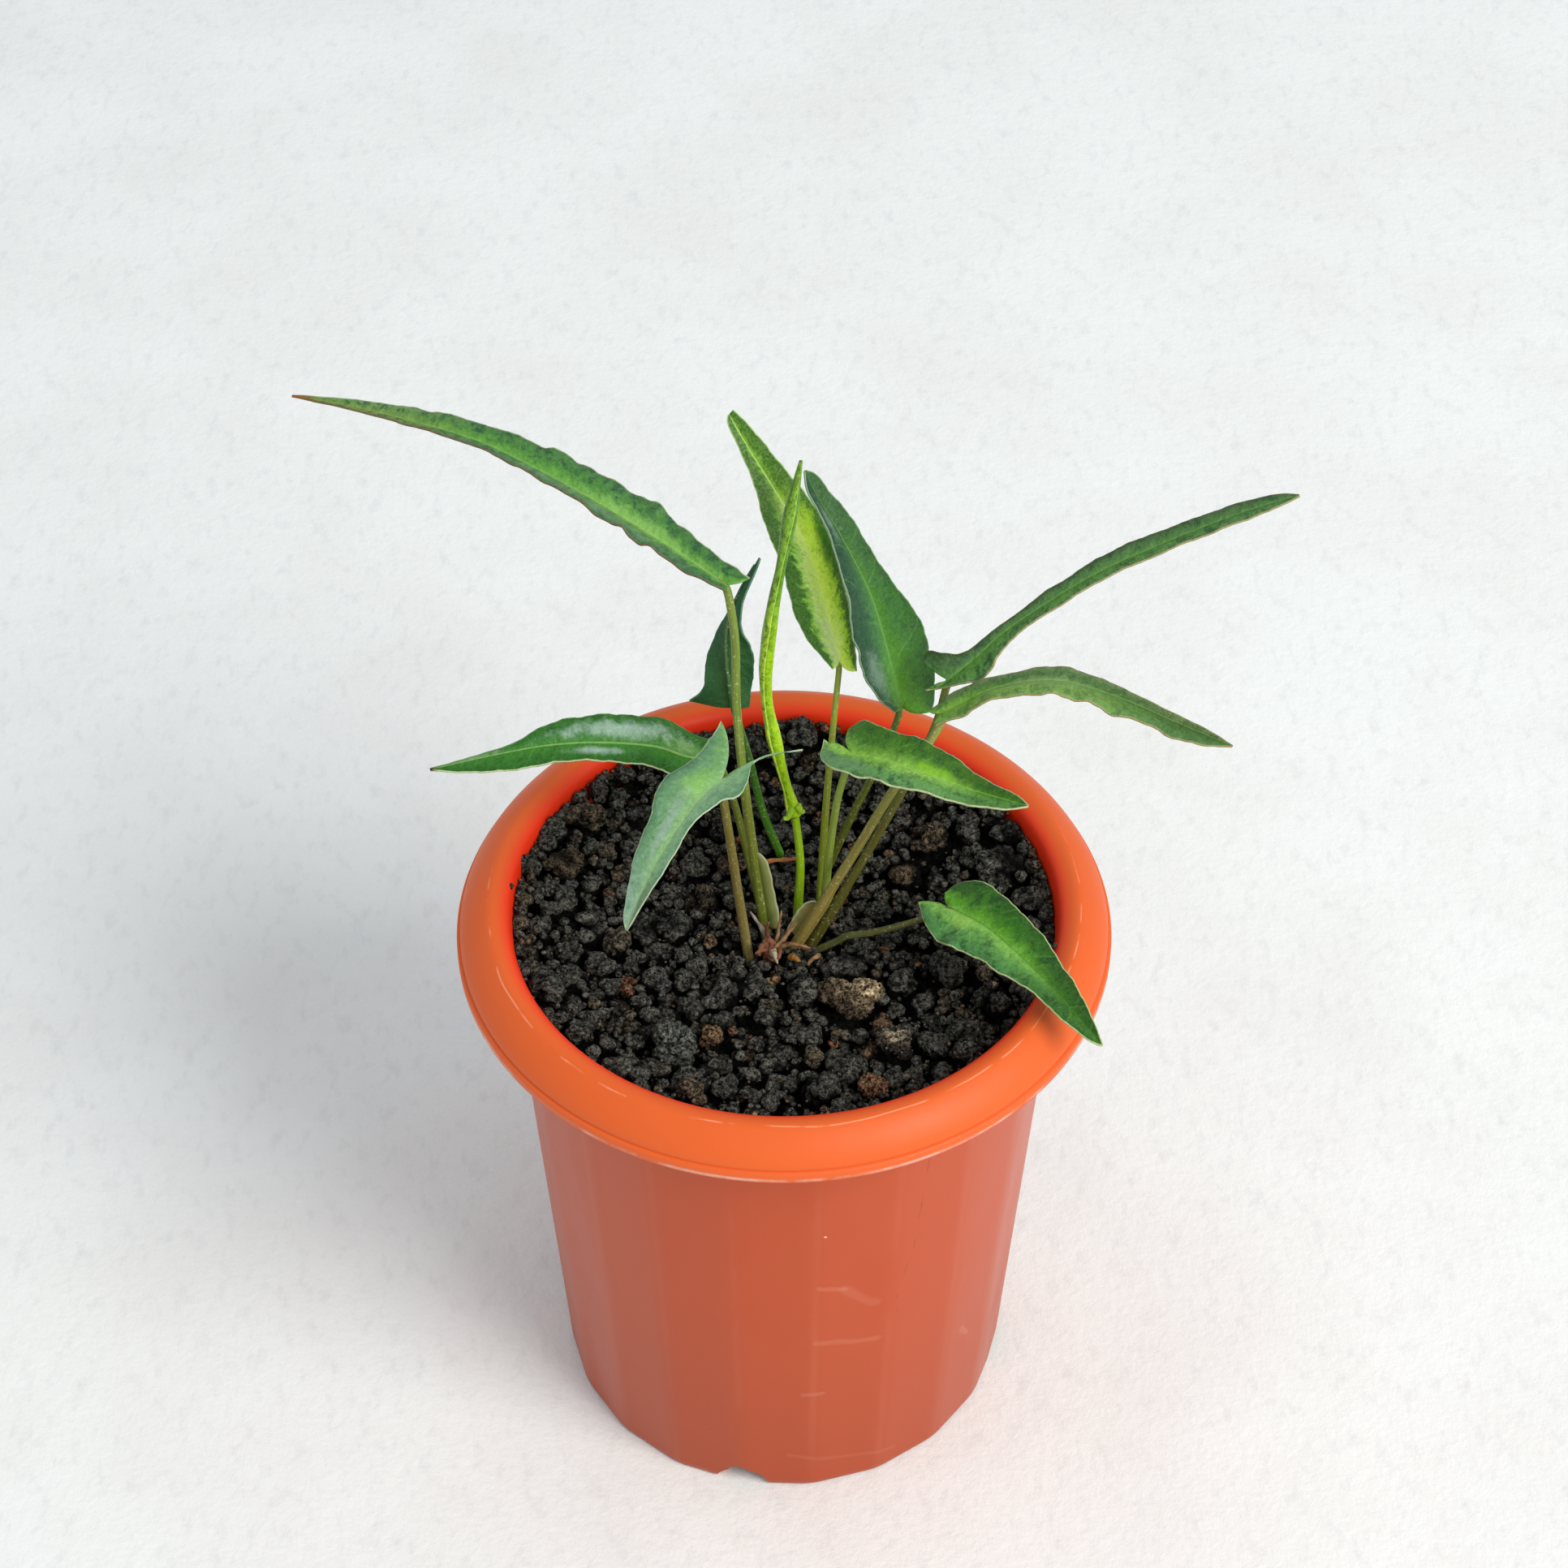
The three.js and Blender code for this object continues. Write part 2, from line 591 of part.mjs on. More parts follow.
// Petiole: ground point first. Midrib: from the petiole's top to the tip. Left and right: the half
// outlines drawn flat, [out from the midrib, along it], from the lobe's tip on
const LEAVES = [
  {
    name: "leaf_long_left",
    petiole: [[-4.9, 4.8, 149], [-8.8, 7, 187], [-11.1, 10, 217], [-11.4, 13, 237.5],
      [-13.2, 16, 251.7]],
    thick: [1.5, 1.25],
    sheath: [-70, 22],
    midrib: [[-13.9, 16, 252.9], [-28.7, 26, 257.3], [-43.6, 33, 263.2], [-60.1, 41, 268],
      [-73.7, 47, 270.8], [-96.3, 53, 273.7], [-115.5, 58, 274.4]],
    roll: [6, 6],
    fold: [22, 13],
    left: [[3, -2.4], [5.4, 3], [6.4, 10], [7.6, 21], [6.8, 31], [5, 42], [4, 58], [3.4, 78],
      [2.4, 92]],
    right: [[4.5, -4], [4.8, 2], [5.5, 14], [7.5, 24], [6.6, 38], [7.2, 46], [5.6, 60],
      [4.4, 78.5], [3, 92]],
    halfWidth: 7,
    heels: [[0.8, -2.2], [1, -2.8]],
    wave: [0.8, 12.5],
    lift: [0, 0.5],
  },
  {
    name: "leaf_variegated",
    petiole: [[9.1, 16.6, 149], [10.4, 23, 173.4], [12.1, 30, 194.5], [13.4, 34, 209.3]],
    thick: [1.3, 0.85],
    midrib: [[13.3, 34, 211.4], [8, 47, 225.8], [3.9, 56, 233], [-2.7, 64, 240.8],
      [-7.9, 70, 246.5], [-13.3, 76, 253.5]],
    roll: [-34, -28],
    fold: [12, 7],
    left: [[2, -1.5], [5.6, 5.7], [7.6, 13], [7.3, 21], [6.8, 37], [3.7, 48], [2.2, 57], [1.5, 64]],
    right: [[4, -3.5], [5.8, 5], [6.4, 13.5], [7, 24], [6.2, 38], [4.7, 49], [3.6, 58], [1.6, 66]],
    halfWidth: 7.5,
    heels: [[0.5, -1.6], [0.8, -3.2]],
    wave: [0.6, 15],
    lift: [0, 0],
  },
  {
    name: "leaf_broad_back",
    petiole: [[10.4, 22.6, 149.4], [17.3, 25, 168.5], [24.7, 28, 186.7], [28.3, 30, 198.6]],
    thick: [1.2, 1],
    midrib: [[28.4, 30, 200.3], [24.8, 34, 215.2], [20.6, 38, 229.5], [13.5, 43, 243.7],
      [7.7, 47, 253], [5, 49, 258.9]],
    roll: [5, 1],
    fold: [15, 9],
    left: [[3.8, 0.5], [8.2, 6.5], [11, 14], [11.9, 21], [11.3, 32], [7.6, 41.5], [4, 50], [2.8, 57],
      [2.3, 63]],
    right: [[7.8, -5.4], [10.4, 3.5], [11, 13], [10, 22], [7.2, 29.5], [5.8, 38], [5.1, 49],
      [3.5, 59], [2.4, 64]],
    halfWidth: 10,
    heels: [[0.8, -1.2], [1.2, -4.2]],
    wave: [0.5, 17],
    lift: [0, 0],
  },
  {
    name: "leaf_rolled_young",
    petiole: [[3.4, 8.8, 149], [4, 10, 165.3], [2.8, 12, 179.5]],
    thick: [1.2, 1],
    midrib: [[2.7, 12.1, 180.6], [-1.6, 14, 200.6], [-4.2, 17, 217.9], [-3.1, 20, 236.2],
      [0, 25, 254.7], [3.9, 31, 277.3]],
    girth: [[0, 1], [0.05, 1.4], [0.11, 1.05], [0.17, 1.4], [0.22, 2], [0.27, 2], [0.33, 1.5], [0.4, 1.6],
      [0.48, 1.8], [0.56, 1.8], [0.65, 1.5], [0.74, 1.25], [0.85, 1.8], [0.94, 1], [1, 0.3]],
    hooks: [
      [[2.6, 11, 183], [0.6, 9.6, 182], [-0.2, 9.2, 180.4]],
      [[3.4, 11.2, 184], [5.4, 10.4, 184.6], [6, 10, 183.4]],
    ],
  },
  {
    name: "leaf_long_right",
    petiole: [[8.4, 2.6, 149], [18.7, 8, 167.4], [28.3, 13, 186.9], [35.9, 18, 203.5],
      [38.8, 22, 214.2]],
    thick: [1.4, 1.15],
    sheath: [-60, 16],
    midrib: [[39.1, 22, 216.4], [46.3, 26, 220.6], [54, 30, 226.1], [72.6, 37, 235.9],
      [88.4, 42, 241.3],
      [108.4, 47, 247.4], [122.5, 50, 250.4]],
    roll: [10, 10],
    fold: [14, 6],
    left: [[8.6, -1.5], [8.6, 1], [5.6, 3.2], [2.9, 7], [2, 16], [2, 24], [2.6, 31], [2.6, 38],
      [3.2, 46], [3.3, 58], [2.9, 69], [2.6, 80], [1.9, 90]],
    right: [[-1.6, -5.8], [2, -1], [5.6, 4.5], [6.4, 9], [4.4, 13.5], [3.1, 21], [3.1, 31], [2.9, 43],
      [3, 55], [2.8, 64], [3, 72], [2.6, 84], [1.6, 91]],
    halfWidth: 4,
    heels: [[3.5, -1.8], [-1.4, -3]],
    wave: [0.5, 13],
    lift: [0, 0],
  },
  {
    name: "leaf_arching_right",
    petiole: [[3.4, 0, 149], [15.6, 4, 172.1], [26.1, 8, 192.8], [34.3, 11, 205.7], [37.8, 13, 212.1]],
    thick: [1.6, 1.3],
    sheath: [-150, 20],
    midrib: [[38, 13, 214.3], [49.8, 15, 220.4], [64.2, 16, 222.1], [78.8, 15, 217.7],
      [93.4, 12, 212], [106.7, 8, 208.1]],
    roll: [0, 10],
    fold: [10, 5],
    left: [[2.4, -3.4], [3.8, 3], [3.4, 12], [2.8, 17], [3.8, 26], [3.6, 36], [2.9, 44],
      [2.2, 53], [1.6, 65]],
    right: [[3, -3], [4.4, 4], [4.4, 16], [5.7, 26], [5.9, 36], [6.3, 42], [5.4, 50], [5, 60],
      [3.6, 67]],
    halfWidth: 5.5,
    heels: [[0.8, -3], [0.8, -2.6]],
    wave: [0.7, 13],
    lift: [-1.5, -1.5],
  },
  {
    name: "leaf_low_left",
    petiole: [[-6.3, 13.8, 149], [-9.6, 16, 166.3], [-12.1, 17, 179.5], [-15.3, 17, 192.9]],
    thick: [1.15, 1],
    midrib: [[-15.9, 17, 194], [-23.7, 17, 195.7], [-31.1, 17, 199], [-43.5, 16, 201.3],
      [-55.9, 15, 201.5],
      [-68.2, 13, 200.5], [-84.9, 10, 198.2]],
    roll: [-20, -20],
    fold: [8, 4],
    left: [[5, -1.5], [6.6, 6.5], [6.4, 13], [5.8, 20], [5.2, 30], [5, 39], [5.4, 48], [3.7, 60.5]],
    right: [[4.6, -2], [6.2, 8.5], [7.3, 16], [7.3, 26], [6.3, 37], [4.4, 44], [2, 50], [1, 58]],
    halfWidth: 7,
    heels: [[0.8, -2], [0.8, -2]],
    wave: [0.5, 14],
    lift: [0, 0],
  },
  {
    name: "leaf_front_arrow",
    petiole: [[-9, -3.2, 149], [-11.4, -4, 172.8], [-13.3, -6, 194.6], [-14.5, -8, 208.9]],
    thick: [1.4, 1.1],
    midrib: [[-14.6, -8, 212.7], [-18.2, -12, 212.9], [-22.8, -19, 211.9], [-27.1, -25, 208.7],
      [-31.8, -31, 202.7], [-36.7, -36, 191.2]],
    roll: [-12, -15],
    fold: [6, 4],
    left: [[6.2, -21.5], [1.8, -14], [1.4, -9], [5, -3.3], [6.3, 1.2], [4.7, 5.3], [3.5, 10.5],
      [2.6, 15],
      [2.9, 22], [2.7, 29], [1.7, 36]],
    right: [[11.8, -11.6], [9.4, -4], [8.2, 1], [8.6, 5], [9.4, 8.5], [9, 13], [6.8, 18.6], [5.6, 26],
      [3.6, 34.5], [2, 42]],
    halfWidth: 8,
    heels: [[-0.8, -11], [4.5, -9.5]],
    wave: [0.4, 14],
    lift: [0, 0],
  },
  {
    name: "leaf_back_left",
    petiole: [[-1.2, 29.6, 149.4], [-5.3, 31.5, 161.9], [-8.8, 34, 179.4], [-12.2, 37, 191.9]],
    thick: [1.1, 0.85],
    midrib: [[-12.5, 37, 193], [-13.7, 40, 203.6], [-13.4, 43, 213.5], [-10.6, 46, 222.2],
      [-5.7, 49, 231.1]],
    roll: [158, 158],
    fold: [15, 8],
    left: [[4, -1], [6, 7], [6.5, 13], [5.6, 19], [3.9, 24], [2.4, 29], [1.8, 36]],
    right: [[11, 1.6], [6.6, 6], [6.1, 11.2], [4.4, 17.5], [3, 23.6], [1.8, 30], [1.2, 36.5]],
    halfWidth: 6.5,
    heels: [[0.8, -1.4], [4.5, -1.2]],
    wave: [0.4, 13],
    lift: [0, 0],
  },
  {
    name: "leaf_low_right",
    petiole: [[9.9, 9.6, 149.5], [11.1, 8.2, 171.5], [12.9, 6.4, 191.6], [15.4, 5.2, 205.2]],
    thick: [1.25, 1],
    midrib: [[16.2, 5, 208.4], [24, 1, 210.4], [34, -4.5, 211.1], [44.5, -9, 210.2],
      [57, -14.5, 210.6]],
    roll: [0, 8],
    fold: [11, 3],
    left: [[7.4, -4.2], [9.9, -2.4], [9.4, 2], [8.2, 6.6], [8.7, 11], [8.1, 16.5], [7.1, 23], [4.8, 30],
      [3.2, 36], [2, 42]],
    right: [[-2.6, -9], [4, -6.5], [7.8, -1.5], [8.8, 4], [8.4, 9], [8.4, 14], [6.9, 20], [6, 26],
      [4.6, 35], [2.6, 42]],
    halfWidth: 8,
    heels: [[2, -4], [-2.4, -4]],
    wave: [0.5, 12],
    lift: [0, 0],
  },
  {
    name: "leaf_over_rim",
    petiole: [[13, -0.6, 149], [15.6, -1.4, 151.8], [20.2, -3, 154.4], [26.4, -5.4, 159],
      [34.2, -7.7, 165], [39.3, -7.3, 168]],
    foot: [-0.2, 0.1, -1],
    thick: [1.15, 1],
    ringStep: 3.5,
    midrib: [[39.7, -7.2, 168.5], [48.5, -16.2, 171], [56.6, -27.1, 172], [64.6, -37.7, 171],
      [74.6, -51.3, 168]],
    roll: [12, 8],
    fold: [7, 7],
    left: [[3, -3.3], [6.3, -2.4], [8.8, 0.6], [9.6, 7], [8.5, 13.6], [8, 19.5], [7.2, 27.5], [5.7, 34],
      [4.7, 41], [2.4, 50.5]],
    right: [[3, -7.3], [6.2, -2.6], [9, 2], [10.6, 8.5], [9.6, 14.5], [8.2, 21], [7.6, 26], [5.6, 32],
      [4.4, 39], [4, 45], [2, 54]],
    halfWidth: 8.5,
    heels: [[1, -2.6], [0.4, -4.6]],
    wave: [0.5, 12],
    lift: [0, 0],
  },
];

// What is left of old roots and leaf bases at the crown: a knob with short strands
const ROOT_KNOB = [-2.8, -4.4, 149.4];
const ROOT_STRANDS = [
  [[-2.8, -4.4, 149.8], [-4.6, -1.8, 153], [-7, 0.9, 155.5]],
  [[-2.8, -4.4, 149.8], [-1, -7, 152.6], [-1.4, -10.2, 153.4]],
  [[-2.8, -4.4, 149.8], [0.6, -5.6, 153], [3.6, -6.8, 154]],
  [[-2.8, -4.4, 149.8], [-4.6, -6.8, 152.8], [-7.2, -8.6, 153.4]],
  [[-2.8, -4.4, 149.8], [-1.4, -2, 153.4], [-0.6, 1.8, 157.6]],
];

function oldRoots() {
  let solid = stone({ at: ROOT_KNOB, size: [5.6, 5.2, 7], seed: 3 });
  ROOT_STRANDS.forEach((strand) => {
    const path = spline(strand);
    solid = solid.add(sweep(path, { rings: 4, sides: 5, radiusAt: (u) => 0.75 - 0.4 * u }));
  });
  return largest(solid);
}

const finish = (color, roughness) => new THREE.MeshStandardMaterial({ color, roughness, metalness: 0 });
const POT_PLASTIC = finish(0xc65a38, 0.45);
const GRIT = finish(0x24221f, 0.95);
const BROWN_STONE = finish(0x5d4c3c, 0.95);
const DEAD_ROOT = finish(0x6b4a33, 0.9);
const LEAF = finish(0x2f6a3c, 0.5);
const GREY_LEAF = finish(0x5f8f6c, 0.45);
const CREAM_LEAF = finish(0xa8c452, 0.5);
const YOUNG_LEAF = finish(0x9ed01a, 0.5);
const LEAF_COLOURS = {
  leaf_variegated: CREAM_LEAF,
  leaf_rolled_young: YOUNG_LEAF,
  leaf_front_arrow: GREY_LEAF,
};

const plant = new THREE.Group();
plant.name = "potted_ribbon_syngonium";
plant.add(meshOf("pot", pot(), POT_PLASTIC));
const pockets = STONES.map((spec) => stone(spec, CLEAR));
const knobHole = stone({ at: ROOT_KNOB, size: [5.6, 5.2, 7], seed: 3 }, CLEAR);
const holes = LEAVES.map((leaf) => petiole(leaf, CLEAR));
plant.add(meshOf("soil", soil([...pockets, knobHole, ...holes]), GRIT));
STONES.forEach((spec) => {
  plant.add(meshOf(spec.name, stone(spec), spec.name.includes("brown") ? BROWN_STONE : GRIT));
});
plant.add(meshOf("old_roots", oldRoots(), DEAD_ROOT));
LEAVES.forEach((leaf) => {
  const solid = leaf.girth ? rolledLeafSolid(leaf) : leafSolid(leaf);
  plant.add(meshOf(leaf.name, solid, LEAF_COLOURS[leaf.name] ?? LEAF));
});

export default plant;
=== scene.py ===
"""Potted ribbon syngonium: builds the pot, the grit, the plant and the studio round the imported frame."""
import json
import math
from contextlib import contextmanager
from functools import partial

import bmesh
import bpy
import numpy as np
from bpy.props import FloatProperty, FloatVectorProperty, IntProperty, PointerProperty
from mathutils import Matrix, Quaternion, Vector


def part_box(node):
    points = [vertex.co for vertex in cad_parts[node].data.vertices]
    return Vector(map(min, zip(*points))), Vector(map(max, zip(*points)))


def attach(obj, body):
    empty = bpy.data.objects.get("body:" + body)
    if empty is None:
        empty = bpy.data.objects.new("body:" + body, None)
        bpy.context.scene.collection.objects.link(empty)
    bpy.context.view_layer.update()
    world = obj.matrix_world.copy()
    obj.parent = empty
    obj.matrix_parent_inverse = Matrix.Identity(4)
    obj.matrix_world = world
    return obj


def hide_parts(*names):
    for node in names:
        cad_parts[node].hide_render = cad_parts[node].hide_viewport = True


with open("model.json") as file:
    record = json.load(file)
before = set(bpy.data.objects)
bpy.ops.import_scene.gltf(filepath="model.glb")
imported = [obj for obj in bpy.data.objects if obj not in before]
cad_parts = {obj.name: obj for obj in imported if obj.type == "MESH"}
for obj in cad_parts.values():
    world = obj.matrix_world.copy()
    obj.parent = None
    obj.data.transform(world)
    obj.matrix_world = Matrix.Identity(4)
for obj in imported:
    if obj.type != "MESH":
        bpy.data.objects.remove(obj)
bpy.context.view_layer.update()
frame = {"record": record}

bl_info = {
    "name": "Potted Ribbon Syngonium",
    "version": (1, 0, 0),
    "blender": (4, 5, 0),
    "location": "View3D > Sidebar > Plant",
    "description": "Builds a potted ribbon syngonium over its CAD frame",
    "category": "Add Mesh",
}

MM = 0.001
BODY = "root"
POT_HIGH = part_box("pot")[1]


# ---------------------------------------------------------------- numbers and paths


def linear(code):
    """An sRGB hex colour as linear red, green, blue and alpha."""
    parts = [int(code[i : i + 2], 16) / 255 for i in (1, 3, 5)]
    return (*[c / 12.92 if c <= 0.04045 else ((c + 0.055) / 1.055) ** 2.4 for c in parts], 1.0)


def hex_of(colour):
    """A colour property, which Blender keeps as sRGB, as a hex colour."""
    return "#" + "".join(f"{round(255 * c):02X}" for c in colour[:3])


def unit(vectors):
    """Vectors scaled to length one."""
    return vectors / np.maximum(np.linalg.norm(vectors, axis=-1, keepdims=True), 1e-12)


def smoothstep(value, low, high):
    """A soft step from 0 at low to 1 at high."""
    t = np.clip((value - low) / (high - low), 0, 1)
    return t * t * (3 - 2 * t)


class Path:
    """A smooth curve through points, read by its length in millimetres."""

    SAMPLES = 1500

    def __init__(self, points, straight_ends=True):
        p = np.array(points, float)
        first, last = (2 * p[0] - p[1], 2 * p[-1] - p[-2]) if straight_ends else (p[0], p[-1])
        padded = np.vstack([first, p, last])
        t = np.linspace(0, len(p) - 1, self.SAMPLES)
        i = np.minimum(t.astype(int), len(p) - 2)
        s = (t - i)[:, None]
        p0, p1, p2, p3 = (padded[i + k] for k in range(4))
        v0, v1 = (p2 - p0) / 2, (p3 - p1) / 2
        self.raw = (2 * p1 - 2 * p2 + v0 + v1) * s**3 + (3 * p2 - 3 * p1 - 2 * v0 - v1) * s**2 + v0 * s + p1
        steps = np.linalg.norm(np.diff(self.raw, axis=0), axis=1)
        self.at = np.concatenate([[0], np.cumsum(steps)])
        self.length = self.at[-1]

    def point(self, mm):
        return np.stack([np.interp(mm, self.at, self.raw[:, k]) for k in range(self.raw.shape[1])], -1)

    def tangent(self, mm):
        mm = np.clip(mm, 0.2, self.length - 0.2)
        return unit(self.point(mm + 0.2) - self.point(mm - 0.2))


# ---------------------------------------------------------------- meshes


def put_in_scene(name, data):
    """A new object in the scene, at the origin."""
    thing = bpy.data.objects.new(name, data)
    bpy.context.collection.objects.link(thing)
    return thing


def make_piece(name, points, faces, materials, nodes, face_materials=None):
    """A smooth-shaded mesh object from points in millimetres; it rides on the one body and replaces nodes."""
    mesh = bpy.data.meshes.new(name)
    mesh.from_pydata((np.asarray(points) * MM).tolist(), [], [tuple(f) for f in faces])
    for material in materials:
        mesh.materials.append(material)
    if face_materials is not None:
        mesh.polygons.foreach_set("material_index", face_materials)
    mesh.shade_smooth()
    piece = put_in_scene(name, mesh)
    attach(piece, BODY)
    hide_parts(*nodes)
    return piece


def add_map(mesh, name, pairs):
    """A UV map from one pair of numbers for each point."""
    layer = mesh.uv_layers.new(name=name)
    corners = np.empty(len(mesh.loops), int)
    mesh.loops.foreach_get("vertex_index", corners)
    layer.data.foreach_set("uv", np.asarray(pairs, np.float32)[corners].ravel())


def add_values(mesh, name, values):
    """A named number for each point."""
    layer = mesh.attributes.new(name, "FLOAT", "POINT")
    layer.data.foreach_set("value", np.asarray(values, np.float32))


def grid_faces(rows, columns, closed=False):
    """Quads over a grid of points, row by row, joined round where closed."""
    across = columns if closed else columns - 1
    row, col = np.meshgrid(np.arange(rows - 1), np.arange(across), indexing="ij")
    a = row * columns + col
    b = row * columns + (col + 1) % columns
    return np.stack([a, b, b + columns, a + columns], -1).reshape(-1, 4).tolist()


def apply_modifiers(piece):
    """Bakes an object's modifiers into its mesh."""
    graph = bpy.context.evaluated_depsgraph_get()
    baked = bpy.data.meshes.new_from_object(piece.evaluated_get(graph))
    piece.modifiers.clear()
    old, piece.data = piece.data, baked
    bpy.data.meshes.remove(old)
    return piece


def thicken(piece, thickness, back=0):
    """Gives a sheet its thickness, half to each side; back counts on to the material of its back."""
    skin = piece.modifiers.new("thickness", "SOLIDIFY")
    skin.thickness, skin.offset, skin.material_offset = thickness, 0, back
    return apply_modifiers(piece)


@contextmanager
def opened(mesh):
    """Opens a mesh for editing and writes it back."""
    shape = bmesh.new()
    shape.from_mesh(mesh)
    yield shape
    shape.to_mesh(mesh)
    shape.free()


# Unit balls made so far, by how fine they are
BALLS = {}


def ball(level):
    """Points and triangles of a unit ball, finer with each level."""
    if level not in BALLS:
        shape = bmesh.new()
        bmesh.ops.create_icosphere(shape, subdivisions=level, radius=1)
        points = np.array([v.co[:] for v in shape.verts])
        faces = np.array([[v.index for v in f.verts] for f in shape.faces])
        shape.free()
        BALLS[level] = points, faces
    return BALLS[level]


def carried_frames(centres, side):
    """Two axes across a path at each of its points, carried along it without twist."""
    along = unit(np.gradient(centres, axis=0))
    first = np.empty_like(along)
    for i, direction in enumerate(along):
        side = side - direction * (side @ direction)
        side = side / np.linalg.norm(side)
        first[i] = side
    return first, np.cross(along, first)


def tube(centres, radii, sides):
    """Points, faces and wrap map of a closed tube; radii has one number a ring, or one for each side."""
    centres = np.asarray(centres, float)
    first, second = carried_frames(centres, np.array([0, 1.0, 0]))
    turn = 2 * np.pi * np.arange(sides) / sides
    radii = np.broadcast_to(np.asarray(radii, float).reshape(len(centres), -1), (len(centres), sides))
    offset = first[:, None] * np.cos(turn)[:, None] + second[:, None] * np.sin(turn)[:, None]
    points = (centres[:, None] + offset * radii[..., None]).reshape(-1, 3)
    faces = grid_faces(len(centres), sides, closed=True)
    last = (len(centres) - 1) * sides
    faces.append(list(range(sides))[::-1])
    faces.append(list(range(last, last + sides)))
    run = np.concatenate([[0], np.cumsum(np.linalg.norm(np.diff(centres, axis=0), axis=1))])
    wrap = np.stack(np.meshgrid(run / 100, turn / (2 * np.pi), indexing="ij"), -1).reshape(-1, 2)[:, ::-1]
    return points, faces, wrap


def joined(parts):
    """Several (points, faces, extra) as one."""
    points, faces, extras, start = [], [], [], 0
    for p, f, extra in parts:
        points.append(p)
        faces += [[k + start for k in face] for face in f]
        extras.append(extra)
        start += len(p)
    return np.vstack(points), faces, np.vstack(extras)


def bumps(directions, rng, count, height):
    """Rounded bumps with creases between them, this many over a whole ball."""
    seeds = unit(rng.normal(size=(count, 3)))
    nearest = np.arccos(np.clip((directions @ seeds.T).max(1), -1, 1)) * math.sqrt(count) / 2
    return -height * nearest**2


# Crust of a lump: how many bumps go over all of it, and how deep the creases between them are
CRUST = ((14, 0.03), (60, 0.035), (240, 0.065))


def lump_radius(directions, rng, knobs=9, core=0.64, flats=4, crust=1.0, lobes=None):
    """How far a broken, porous lump reaches in each direction: knobs on a core, or lobes given as x, y, z and
    radius, with abraded flats and a crust."""
    if lobes:
        centres, sizes = np.array(lobes)[:, :3], np.array(lobes)[:, 3]
    else:
        centres = unit(rng.normal(size=(knobs, 3))) * rng.uniform(0.25, 0.5, (knobs, 1))
        sizes = rng.uniform(0.4, 0.56, knobs)
    along = directions @ centres.T
    inside = sizes**2 - (centres**2).sum(1) + along**2
    reach = np.where(inside > 0, along + np.sqrt(np.maximum(inside, 0)), 0).max(1)
    radius = np.maximum(core, reach)
    faces = unit(rng.normal(size=(flats, 3)))
    cut = rng.uniform(0.68, 0.92, flats) / np.maximum(directions @ faces.T, 0.05)
    radius = np.minimum(radius, cut.min(1))
    for count, height in CRUST:
        if count < len(directions) / 2.5:
            radius = radius + bumps(directions, rng, count, height * crust)
    return radius * 1.25


# ---------------------------------------------------------------- materials

# Settings that many nodes share. Inputs go by number where their names repeat: a map range turns 1 to 2 into
# 3 to 4, which are 0 to 1 where not set, and a colour mix lays 7 over 6 as far as 0 says, and gives the result
# as its output 2.
SOFT = {"interpolation_type": "SMOOTHSTEP"}
ADD = {"operation": "ADD"}
TIMES = {"operation": "MULTIPLY"}
TIMES_PLUS = {"operation": "MULTIPLY_ADD"}
EITHER_SIDE = {"operation": "ABSOLUTE"}
ABOVE = {"operation": "GREATER_THAN"}
COLOUR = {"data_type": "RGBA"}
SHADE = {**COLOUR, "blend_type": "MULTIPLY", 0: 1.0}
# How much deeper red and green light goes into living plant tissue than blue
PLANT_DEPTHS = (0.6, 1.0, 0.25)


def link(tree, node, sources):
    """Links a node's inputs to other nodes: a source is a node, or a node and which of its outputs."""
    for key, source in sources.items():
        origin, output = source if isinstance(source, tuple) else (source, 0)
        tree.links.new(origin.outputs[output], node.inputs[key])


def add_node(tree, kind, settings=None, links=None):
    """Adds a shader node, sets its properties and inputs, and links outputs of other nodes to its inputs."""
    node = tree.nodes.new("ShaderNode" + kind)
    for key, value in (settings or {}).items():
        if isinstance(key, int) or (key in node.inputs and not hasattr(node, key)):
            node.inputs[key].default_value = value
        else:
            setattr(node, key, value)
    link(tree, node, links or {})
    return node


def set_ramp(node, stops):
    """Colour stops of a colour ramp: position and hex."""
    ramp = node.color_ramp
    ramp.interpolation = "LINEAR"
    while len(ramp.elements) > 1:
        ramp.elements.remove(ramp.elements[-1])
    ramp.elements[0].position = stops[0][0]
    ramp.elements[0].color = linear(stops[0][1])
    for position, code in stops[1:]:
        ramp.elements.new(position).color = linear(code)
    return node


def lay_coats(add, base, coats):
    """Lays colours over each other on a colour mix, each as far as its mask lets it show."""
    for mask, colour in coats:
        base = add("Mix", {**COLOUR, 7: linear(colour)}, {0: mask, 6: (base, 2)})
    return base


def new_material(name, settings):
    """A material with one principled shader, what adds a node to it, and what wires its shader."""
    material = bpy.data.materials.new(name)
    material.use_nodes = True
    tree = material.node_tree
    shader = next(node for node in tree.nodes if node.type == "BSDF_PRINCIPLED")
    for key, value in settings.items():
        shader.inputs[key].default_value = value
    return material, partial(add_node, tree), partial(link, tree, shader)


